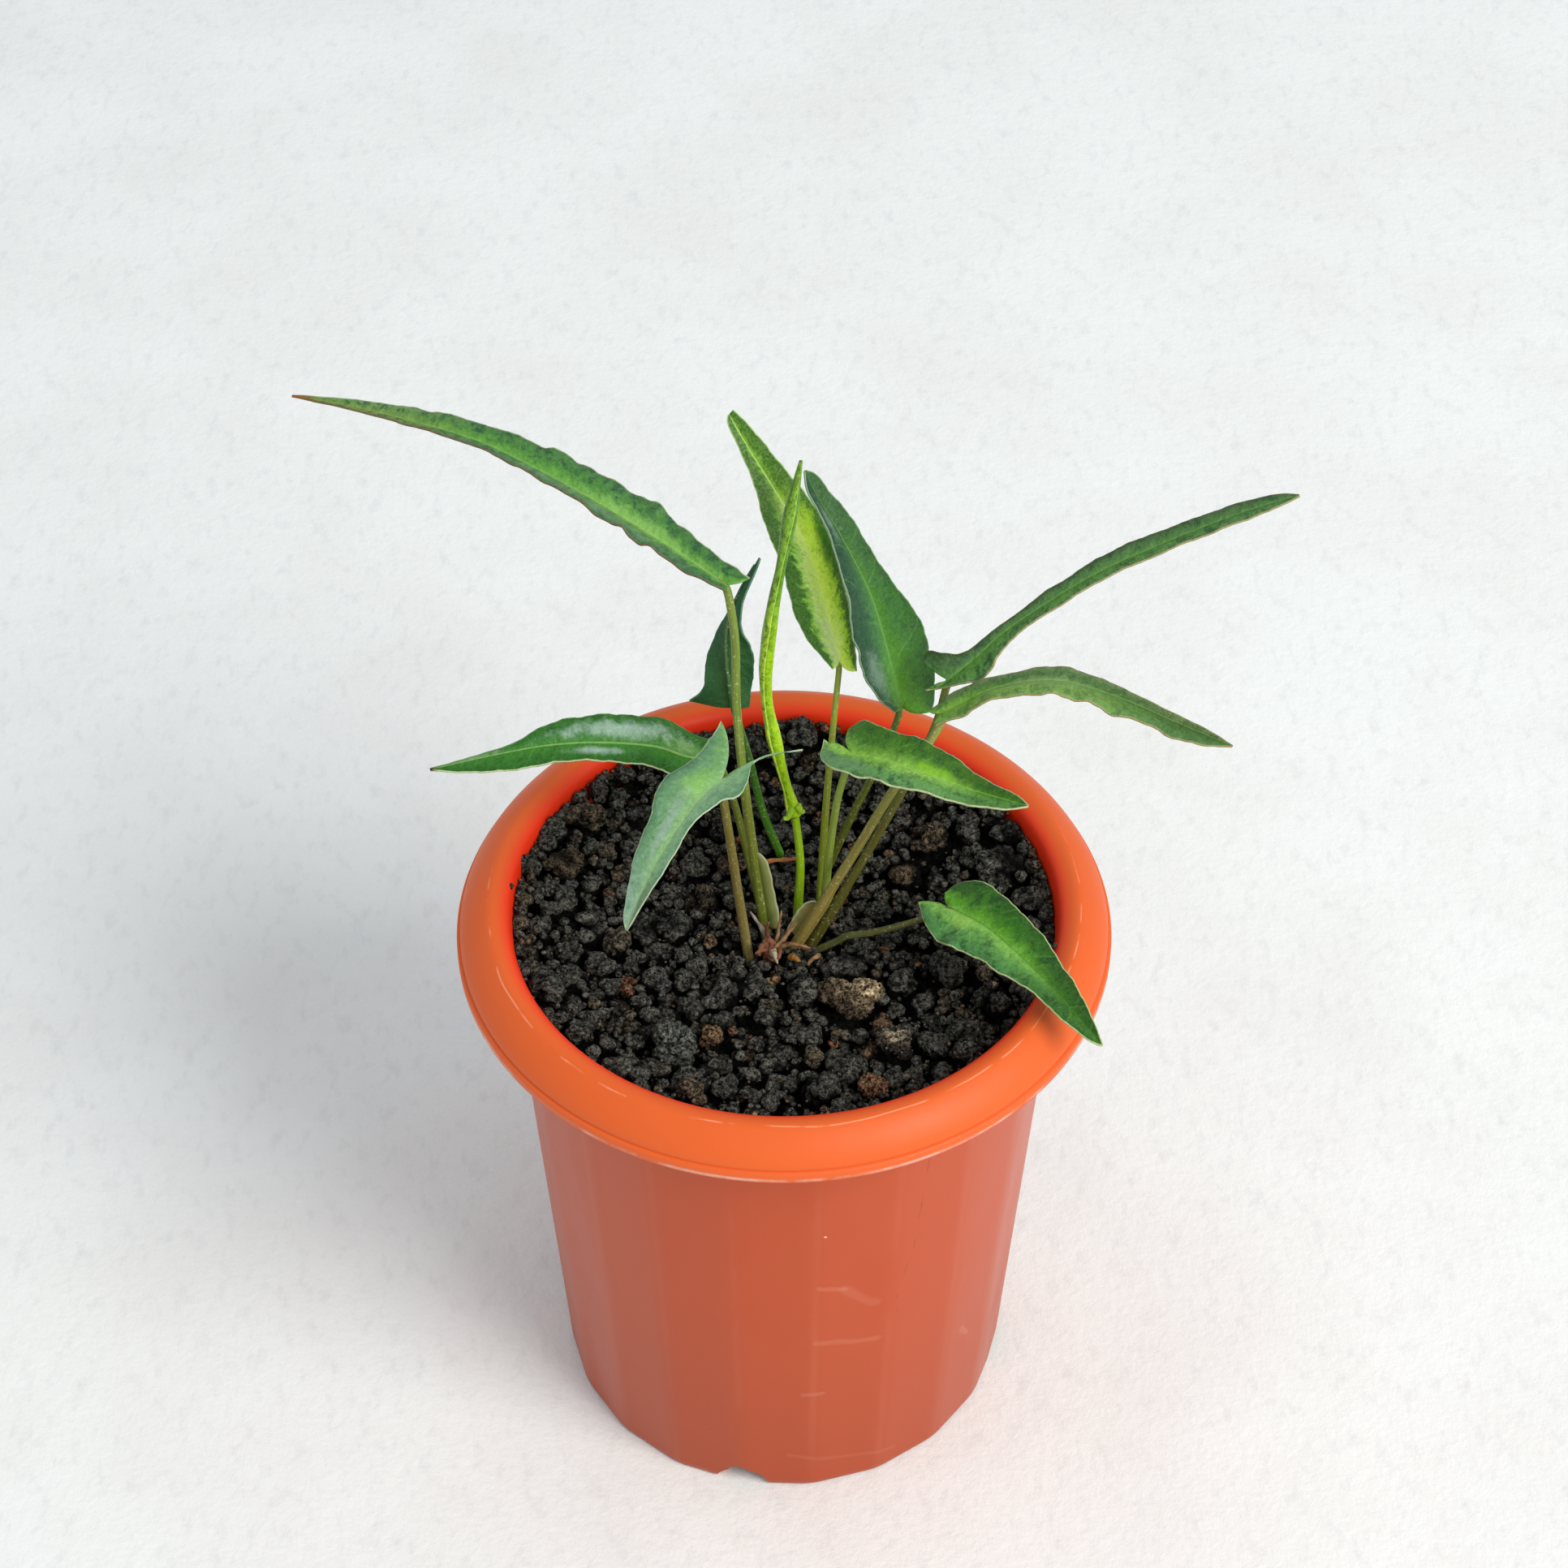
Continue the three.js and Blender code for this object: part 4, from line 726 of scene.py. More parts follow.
def pot_profile(settings):
    """Pot outline, radius and height, from the middle of the foot round the rim to the inside floor."""
    rim, height = settings.rim_radius / MM, settings.height / MM

    def inner(z):
        return wall_radius(z) - WALL

    foot = [[0, 0], [20, 0], [40, 0], [56.3, 0], [57.2, 0.25], [57.9, 0.8], [wall_radius(1.6), 1.6]]
    wall = [[wall_radius(z), z] for z in np.linspace(3, FLANGE_BOTTOM, 46)]
    hollow_line = [[SHOULDER, FLANGE_BOTTOM], [69.2, 158.2], [72.6, 161], [77.3, 157], [rim - 1.8, 152.7]]
    under = Path(hollow_line, straight_ends=False)
    hollow = under.point(np.linspace(1.2, under.length, 16)).tolist()
    bead = [[rim - 1.6, FLANGE_BOTTOM], [rim - 0.25, FLANGE_BOTTOM], [rim, 152.7], [rim, 155.1],
            [rim - 0.3, 155.5], [rim - 0.9, 155.65]]
    roll = Path(
        [[rim - 0.9, 155.9], [rim - 0.9, 156.7], [rim - 1.8, 158.5], [rim - 3.8, 160.8], [74.1, height - 0.9],
         [72, height], [69.9, height - 0.4], [67.9, height - 1.5], [66.9, 160.2], [66.5, 157], [66.1, 150],
         [inner(140), 140]]
    )
    crest = roll.point(np.linspace(0, roll.length, 64)).tolist()
    inside = [[inner(120), 120], [inner(60), 60], [inner(4.6), 4.6], [inner(FLOOR) - 1.2, FLOOR], [30, FLOOR],
              [0, FLOOR]]
    return np.array(foot + wall + hollow + bead + crest + inside)


def torn_outline(rng):
    """Outline of a drain notch where the moulded tab was torn out."""
    ragged = [[x + rng.normal() * 0.12, z + rng.normal() * 0.15] for x, z in NOTCH_TOP]
    return [[-7.5, -1], [7, -1], *ragged]


class PotSettings(bpy.types.PropertyGroup):
    """Sizes and colours of the pot."""

    height: FloatProperty(
        name="Height", description="Height of the pot", default=POT_HIGH[2], unit="LENGTH"
    )
    rim_radius: FloatProperty(
        name="Rim Radius", description="Radius of the rolled rim", default=POT_HIGH[0] - 0.0001, unit="LENGTH"
    )
    segments: IntProperty(
        name="Segments", description="Faces round the pot", default=300, min=40, max=720
    )
    wall_colour: FloatVectorProperty(
        name="Wall Colour", description="Colour of the fluted wall", subtype="COLOR_GAMMA",
        default=(0.72, 0.27, 0.07), min=0, max=1,
    )
    rim_colour: FloatVectorProperty(
        name="Rim Colour", description="Colour of the rim and the inside", subtype="COLOR_GAMMA",
        default=(0.87, 0.375, 0.14), min=0, max=1,
    )


class PLANT_OT_pot(bpy.types.Operator):
    """Build the fluted plastic pot."""

    bl_idname = "plant.pot"
    bl_label = "Fluted Pot"

    def execute(self, context):
        settings = context.scene.plant_pot
        rng = np.random.default_rng(4)
        profile = pot_profile(settings)
        segments = settings.segments
        angle = 2 * np.pi * np.arange(segments) / segments
        radius, z = profile[:, :1], profile[:, 1:]
        fluted = (z <= FLANGE_BOTTOM) & (radius < SHOULDER + 0.1)
        share = np.where(fluted, flute(angle[None], z), 1)
        warp = 1 + 0.0006 * np.sin(3 * angle + 0.7) * np.clip(z / 100, 0, 1)
        r = radius * share * warp
        points = np.stack([r * np.cos(angle), r * np.sin(angle), z + 0 * r], -1).reshape(-1, 3)
        faces = grid_faces(len(profile), segments, closed=True)
        material = moulded_polypropylene(settings)
        # Torn plastic is whitened and dull
        torn, _, _ = new_material(
            "torn_polypropylene", {"IOR": 1.49, "Roughness": 0.6, "Base Color": linear("#F0A078")}
        )
        pot = make_piece("pot_shell", points, faces, [material, torn], ["pot"])
        with opened(pot.data) as shape:
            bmesh.ops.remove_doubles(shape, verts=shape.verts, dist=1e-6)
            bmesh.ops.recalc_face_normals(shape, faces=shape.faces)
        for turn in NOTCH_TURNS:
            self.cut_notch(pot, torn_outline(rng), math.radians(turn))
        pot.data.set_sharp_from_angle(angle=math.radians(50))
        return {"FINISHED"}

    @staticmethod
    def cut_notch(pot, outline, turn):
        """Cut one notch through the wall and the edge of the floor."""
        near, far = FOOT + NOTCH_REACH, FOOT - NOTCH_REACH
        cos, sin = math.cos(turn), math.sin(turn)
        points = [(x * cos + y * sin, x * sin - y * cos, z) for y in (near, far) for x, z in outline]
        count = len(outline)
        mesh = bpy.data.meshes.new("notch")
        sides = [(i, (i + 1) % count, (i + 1) % count + count, i + count) for i in range(count)]
        ends = [tuple(range(count))[::-1], tuple(range(count, 2 * count))]
        mesh.from_pydata([tuple(c * MM for c in p) for p in points], [], sides + ends)
        with opened(mesh) as shape:
            bmesh.ops.recalc_face_normals(shape, faces=shape.faces)
        mesh.materials.append(pot.data.materials[1])
        cutter = put_in_scene("notch", mesh)
        cut = pot.modifiers.new("notch", "BOOLEAN")
        cut.object, cut.operation, cut.solver = cutter, "DIFFERENCE", "EXACT"
        cut.material_mode = "TRANSFER"
        apply_modifiers(pot)
        bpy.data.objects.remove(cutter)


# ---------------------------------------------------------------- grit and stones

SOIL_LEVEL = 148.0
# The loose grains lie within this radius, and this share of the tries is made right at the wall
GRIT_RADIUS = 66.3
AT_WALL = 0.28
# A grain's half height and how far it sinks in, as shares of its radius, and how far it may stand up in all
GRAIN_TALL = 0.8
GRAIN_SINK = 0.3
STANDS_UP = 3.2
# Each size of grain is cut to this many different shapes
SHAPES = 22
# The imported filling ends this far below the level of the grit
BED_DEPTH = 4.6
# Lumps that stand out: x, y, width in mm, and tone (0 black, 0.5 brown, 0.8 rust, 0.95 tan)
LUMPS = [
    [-64, 17, 6.6, 0.1], [-55, 19, 8.5, 0.5], [-48, 15, 5.1, 0.1], [-42, -2, 7.2, 0.45], [-54, 8, 6.6, 0.1],
    [-27, 4, 7.6, 0.1], [-20, 12, 8.5, 0.5], [-24, -13, 5.9, 0.1], [-58, -21, 8.9, 0.2], [-49, -34, 7.2, 0.1],
    [-45, -10, 6, 0.1], [-31, -13, 5.9, 0.2], [-23, -22, 6.1, 0.1], [-17, -31, 5.9, 0.7], [-14, -48, 6.8, 0.1],
    [-23, -50, 5.8, 0.45], [-8, -43, 4.5, 0.1], [-25, -5, 4.6, 0.1], [-11, -11, 5, 0.1], [-34, -20, 4.1, 0.2],
    [-14, -17, 7.5, 0.1], [-38, -17, 4, 0.8], [15, -10, 9.9, 0.1], [29, -14, 7.9, 0.1], [40, -11, 8.5, 0.1],
    [34, -20, 4.9, 0.2], [36, -35, 7.4, 0.1], [44, -38, 7.4, 0.2], [38, -45, 6.4, 0.1], [15, -40, 8.2, 0.1],
    [7, -31, 6.3, 0.1], [7, -38, 4.9, 0.45], [8, -50, 9.7, 0.1], [4, -17, 8.3, 0.1], [-5, -25, 6.3, 0.2],
    [-3, -53, 4.6, 0.1], [14, -56, 6.4, 0.1], [52, -25, 6.5, 0.2], [58, -19, 5.3, 0.1], [49, -14, 4.4, 0.45],
    [54, 19, 11.2, 0.2], [56, 30, 8.4, 0.1], [60, 8, 7.6, 0.1], [37, 31, 9.2, 0.5], [31, 21, 8.7, 0.5],
    [46, 32, 6.7, 0.1], [41, 0, 7.2, 0.1], [-47, 42, 5.4, 0.1], [-50, 34, 7.8, 0.5], [-58, 29, 6.7, 0.1],
    [-40, 48, 5.6, 0.2], [5, 61, 8.4, 0.1], [-7, 58, 7.1, 0.1], [14, 60, 6.3, 0.1], [20, 46, 6.6, 0.1],
    [-13, 25, 7.3, 0.5], [-22, 25, 6.1, 0.1], [-34, 25, 6.9, 0.1], [-36, 38, 6.2, 0.1], [-24, 43, 7, 0.2],
    [24, 9, 6, 0.1], [33, 10, 5.6, 0.1], [-60, -2, 6.2, 0.1], [-52, -15, 5.5, 0.1], [-40, -44, 6, 0.1],
    [-34, -50, 5.4, 0.2], [26, -57, 5.2, 0.1], [47, -44, 5, 0.1], [30, 50, 7, 0.1], [-18, 56, 6.4, 0.1],
]
# Space that the crown takes up in the grit: middle, radius and half height
CROWN_FOOT = (-2.8, -4.4, 149.4, 2.7 * 0.92, 3.5 * 0.8)
# How far the grit is banked up at the wall, by the angle from the front in degrees
BANK = [(-180, 4.5), (-150, 8), (-125, 8), (-100, 8.5), (-80, 7.5), (-45, 4.5), (0, 3.5), (45, 4), (75, 6),
        (95, 7), (125, 7), (150, 7), (180, 4.5)]
BANK_REACH = (38, 65)
# Crumbs that lie on the lip: x, y, z and radius
CRUMBS = [(65.7, -13.1, 161, 0.8), (-21.1, -62.1, 160.9, 0.6), (-67.2, 6.5, 161.2, 0.9),
          (66.9, -15.4, 161.2, 0.45)]
CRUMB_TONES = [0.1, 0.4, 0.05, 0.6]
GRIT_TONES = [(0.0, "#393A35"), (0.14, "#4A4B45"), (0.28, "#41413C"), (0.42, "#50493D"), (0.54, "#463C2F"),
              (0.66, "#66523E"), (0.78, "#6A4A36"), (0.88, "#7C5238"), (1.0, "#A08A64")]
# Where stems stand in the grit: no grain lies there
STEM_FEET = [[-5, 4.8], [9.1, 16.6], [10.4, 22.6], [3.4, 8.8], [8.4, 2.6], [3.4, 0], [-6.3, 13.8], [-9, -3.2],
             [-1.2, 29.6], [9.9, 9.6], [13.5, -0.8]]


class GritSettings(bpy.types.PropertyGroup):
    """Numbers and sizes of the grit."""

    coarse: IntProperty(name="Coarse Grains", description="Grains of 6 to 10 mm", default=150, min=0)
    broken: IntProperty(name="Broken Grains", description="Grains of 5 to 8 mm", default=130, min=0)
    middling: IntProperty(name="Middling Grains", description="Grains of 3 to 6 mm", default=320, min=0)
    small: IntProperty(name="Small Grains", description="Grains of 1.5 to 3 mm", default=1100, min=0)
    fine: IntProperty(name="Fine Grains", description="Grains of 1 mm", default=2600, min=0)
    dark: FloatVectorProperty(
        name="Pore Colour", description="Colour in the pores of a grain", subtype="COLOR_GAMMA",
        default=(0.045, 0.042, 0.04), min=0, max=1,
    )


class HeightMap:
    """Height of the grit over a half-millimetre grid, raised as grains settle on it."""

    cell = 0.5
    reach = 68.0

    def __init__(self):
        ticks = np.arange(-self.reach, self.reach + self.cell / 2, self.cell)
        self.x, self.y = np.meshgrid(ticks, ticks, indexing="ij")
        self.top = ground(self.x, self.y) - 3.0

    def footprint(self, x, y, r):
        i, j = round((x + self.reach) / self.cell), round((y + self.reach) / self.cell)
        k = int(r / self.cell) + 1
        window = (slice(max(i - k, 0), i + k + 1), slice(max(j - k, 0), j + k + 1))
        gap = 1 - ((self.x[window] - x) ** 2 + (self.y[window] - y) ** 2) / r**2
        return window, np.sqrt(np.maximum(gap, 0)), gap > 0

    def rest(self, x, y, r, tall, sink):
        """Height of a grain's middle when it lies at x, y."""
        window, dome, under = self.footprint(x, y, r)
        if not under.any():
            return self.top[window].max() + tall
        level = self.top[window][under] + tall * dome[under]
        return np.quantile(level, 0.82) - sink

    def settle(self, x, y, z, r, tall):
        """Raise the map by a grain that lies there."""
        window, dome, under = self.footprint(x, y, r)
        self.top[window] = np.where(under, np.maximum(self.top[window], z + tall * dome), self.top[window])

    def openness(self, points):
        """How open to the air each point is, from 0 in the gaps to 1 on the tops."""
        level = self.top.copy()
        for _ in range(14):
            for axis in (0, 1):
                level = (np.roll(level, 1, axis) + 2 * level + np.roll(level, -1, axis)) / 4
        i, j = np.clip(np.round((points[:, :2] + self.reach) / self.cell).astype(int), 0, len(level) - 1).T
        return smoothstep(points[:, 2] - level[i, j], -1.7, 1.0)


def ground(x, y):
    """Even level of the grit: a slope, a mound at the back, and grit banked up against the wall."""
    mound = 5 * np.exp(-((x - 3) ** 2 + (y - 57) ** 2) / 180)
    turn = np.degrees(np.arctan2(x, -y))
    bank = np.interp(turn, *zip(*BANK)) * smoothstep(np.hypot(x, y), *BANK_REACH)
    return SOIL_LEVEL + 2.2 * y / SHOULDER + mound + bank


def lay_grains(heights, rng, count, sizes, tries):
    """Places for grains: each tries a few spots and keeps the lowest that is clear of wall and stems."""
    laid = []
    feet = np.array(STEM_FEET)
    for _ in range(count):
        r = sizes[0] + (sizes[1] - sizes[0]) * rng.random() ** 1.7
        best, lowest = None, STANDS_UP
        for _ in range(tries):
            share = 1 if rng.random() < AT_WALL else math.sqrt(rng.random())
            turn, away = 2 * np.pi * rng.random(), (GRIT_RADIUS - 0.9 * r) * share
            x, y = away * math.cos(turn), away * math.sin(turn)
            if np.min((feet[:, 0] - x) ** 2 + (feet[:, 1] - y) ** 2) < (r + 1.5) ** 2:
                continue
            z = heights.rest(x, y, r, r * GRAIN_TALL, r * GRAIN_SINK)
            over = z + r * GRAIN_TALL - ground(x, y)
            if over < lowest:
                best, lowest = (x, y, z, r), over
        if best:
            laid.append(best)
            heights.settle(*best, best[3] * GRAIN_TALL)
    return laid


def grain_mesh(grains, level, rng, tones):
    """All grains of one size as points, faces and a tone for each point."""
    directions, faces = ball(level)
    shapes = []
    for _ in range(SHAPES):
        knobs, flats = int(rng.integers(6, 12)), int(rng.integers(4, 9))
        shapes.append(directions * lump_radius(directions, rng, knobs, flats=flats)[:, None])
    points, corners, shade = [], [], []
    for k, (x, y, z, r) in enumerate(grains):
        spin = np.array(Quaternion(unit(rng.normal(size=4))).to_matrix())
        size = r * np.array([rng.uniform(0.85, 1.25), rng.uniform(0.8, 1.15), rng.uniform(0.72, 0.95)]) * 1.1
        points.append(shapes[rng.integers(SHAPES)] @ spin.T * size + (x, y, z))
        corners.append(faces + k * len(directions))
        shade.append(np.full(len(directions), tones[k]))
    return np.vstack(points), np.vstack(corners), np.concatenate(shade)


class PLANT_OT_grit(bpy.types.Operator):
    """Fill the pot with volcanic grit: a packed bed, marked lumps, and settled grains of five sizes."""

    bl_idname = "plant.grit"
    bl_label = "Volcanic Grit"

    def execute(self, context):
        settings = context.scene.plant_grit
        rng = np.random.default_rng(11)
        material = volcanic_grit("volcanic_grit", hex_of(settings.dark), GRIT_TONES)
        heights = HeightMap()
        for node in STONES:
            low, high = (np.array(corner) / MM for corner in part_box(node))
            middle, half = (low + high) / 2, (high - low) / 2
            heights.settle(*middle, half[:2].mean() * 0.92, half[2] * 0.8)
        heights.settle(*CROWN_FOOT)
        lumps = []
        for x, y, width, _ in LUMPS:
            r = 0.58 * width
            z = ground(x, y) + 1.3 - 0.12 * r
            lumps.append((x, y, z, r))
            heights.settle(x, y, z, r, r * 0.8)
        batches = [("grit_lumps", lumps, 4, [lump[3] + rng.uniform(-0.06, 0.06) for lump in LUMPS])]
        for name, count, sizes, tries, level in (
            ("grit_coarse", settings.coarse, (3.0, 4.8), 5, 4),
            ("grit_broken", settings.broken, (2.3, 3.6), 5, 4),
            ("grit_middling", settings.middling, (1.4, 2.6), 5, 3),
            ("grit_small", settings.small, (0.8, 1.5), 7, 2),
            ("grit_fine", settings.fine, (0.3, 0.7), 3, 1),
        ):
            laid = lay_grains(heights, rng, count, sizes, tries)
            batches.append((name, laid, level, self.tones(rng, len(laid))))
        batches.append(("grit_crumbs", CRUMBS, 3, CRUMB_TONES))
        for name, laid, level, tones in batches:
            points, faces, shade = grain_mesh(laid, level, rng, tones)
            piece = make_piece(name, points, faces, [material], ["soil"])
            add_values(piece.data, "tone", np.clip(shade, 0, 1))
            # Painted shade: each point is darkened by how low it lies in the gaps between grains
            add_values(piece.data, "open_air", heights.openness(points))
        self.bed(material)
        return {"FINISHED"}

    @staticmethod
    def tones(rng, count):
        """A tone for each grain: mostly black, some brown, few rusty or tan."""
        return np.interp(rng.random(count), [0, 0.82, 0.94, 0.985, 1], [0, 0.33, 0.5, 0.75, 1]).tolist()

    @staticmethod
    def bed(material):
        """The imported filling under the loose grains, from the pot's floor up."""
        rng = np.random.default_rng(2)
        segments = 180
        angle = 2 * np.pi * np.arange(segments) / segments
        rows = []
        for z, inset in ((FLOOR + 0.4, 1.6), (FLOOR + 2.4, 0.3), (30, 0.3), (80, 0.3), (120, 0.3), (141, 0.3)):
            r = (wall_radius(z) - WALL - inset) * flute(angle, np.full(segments, float(z)))
            rows.append(np.stack([r * np.cos(angle), r * np.sin(angle), np.full(segments, float(z))], -1))
        edge = np.linalg.norm(rows[-1][:, :2], axis=1)
        for share in np.linspace(0.995, 0.02, 60):
            x, y = edge * share * np.cos(angle), edge * share * np.sin(angle)
            lumps = 0.9 * np.sin(x * 1.3 + 2 * np.sin(y * 0.9)) * np.sin(y * 1.5 + 2 * np.sin(x * 1.1))
            z = ground(x, y) - BED_DEPTH + lumps + rng.normal(size=segments) * 0.15
            rows.append(np.stack([x, y, z], -1))
        points = np.vstack(rows)
        faces = grid_faces(len(rows), segments, closed=True)
        faces.append(list(range(segments))[::-1])
        faces.append(list(range(len(points) - segments, len(points))))
        piece = make_piece("grit_bed", points, faces, [material], ["soil"])
        add_values(piece.data, "tone", np.full(len(points), 0.05))
        # Painted shade: the bed lies deep in the gaps between grains and is darkened to about an eighth
        add_values(piece.data, "open_air", np.full(len(points), 0.12))


# Each stone: seed, tones from shaded to lit, material slot, and its lobes as x, y, z and radius
STONES = {
    "stone_brown_large": (
        5,
        [(0.0, "#221D18"), (0.35, "#41382D"), (0.65, "#5C5140"), (0.85, "#7E7058"), (1.0, "#B0A080")],
        "brown_stone",
        [(-0.42, 0.15, 0.1, 0.56), (0.42, 0.2, 0.25, 0.56), (0.1, -0.35, 0.05, 0.55), (0, 0.1, -0.3, 0.6)],
    ),
    "stone_brown_small": (
        9, [(0.0, "#14110F"), (0.5, "#302C28"), (0.75, "#564E42"), (1.0, "#8E8470")], "brown_stone",
        [(-0.35, 0.3, 0.25, 0.55), (0.35, 0.25, 0.25, 0.55), (0.42, -0.3, 0, 0.5), (0, 0.1, -0.3, 0.55)],
    ),
    "stone_brown_front": (
        12, [(0.0, "#241A14"), (0.5, "#543E2E"), (1.0, "#7A5E48")], "brown_stone",
        [(-0.25, 0.1, 0.1, 0.66), (0.3, -0.1, 0.15, 0.62), (0, 0, -0.2, 0.62)],
    ),
    "stone_dark_large": (
        21, [(0.0, "#1C1E1B"), (0.5, "#3A3E39"), (1.0, "#585C55")], "volcanic_grit",
        [(-0.25, 0.35, 0.2, 0.6), (0.25, -0.25, 0.1, 0.64), (0.35, 0.35, 0, 0.5), (-0.35, -0.35, -0.1, 0.5)],
    ),
}
# Painted light: the side where each stone is painted palest, as if lit, as a direction seen from its middle
PAINTED_LIT_SIDES = {
    "stone_brown_large": (0.7, 0.35, 0.75),
    "stone_brown_small": (0.1, 0.75, 0.9),
    "stone_brown_front": (-0.3, 0, 1),
    "stone_dark_large": (0.3, -0.2, 1),
}


class PLANT_OT_stones(bpy.types.Operator):
    """Lay the four larger stones on the grit."""

    bl_idname = "plant.stones"
    bl_label = "Loose Stones"

    def execute(self, context):
        for node, (seed, tones, slot, lobes) in STONES.items():
            directions, faces = ball(6 if "large" in node else 5)
            rng = np.random.default_rng(seed)
            low, high = (np.array(corner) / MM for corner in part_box(node))
            radius = lump_radius(directions, rng, core=0.62, flats=3, crust=1.1, lobes=lobes)
            radius = radius + bumps(directions, rng, 1000, 0.018)
            shape = directions * radius[:, None]
            extent = (shape.max(0) - shape.min(0)) / 2
            shape = (shape - (shape.max(0) + shape.min(0)) / 2) / extent
            points = shape * (high - low) / 2 * 0.985 + (low + high) / 2
            material = volcanic_grit(node + "_pumice", "#14110E", tones, 1100.0)
            piece = make_piece(node + "_lump", points, faces, [material], [node])
            x, y, z = points.T
            blotch = 0.25 * np.sin(x * 0.9 + seed) * np.sin(y * 1.1) * np.sin(z * 1.3)
            # Painted light: each stone is paler towards its lit side
            pale = directions @ unit(np.array(PAINTED_LIT_SIDES[node]))
            add_values(piece.data, "tone", np.clip(0.42 + 0.5 * pale + blotch, 0, 1))
            # Painted shade: each stone is darker towards its underside
            add_values(piece.data, "open_air", smoothstep(shape[:, 2], -0.9, 0.1))
        return {"FINISHED"}


# ---------------------------------------------------------------- leaves

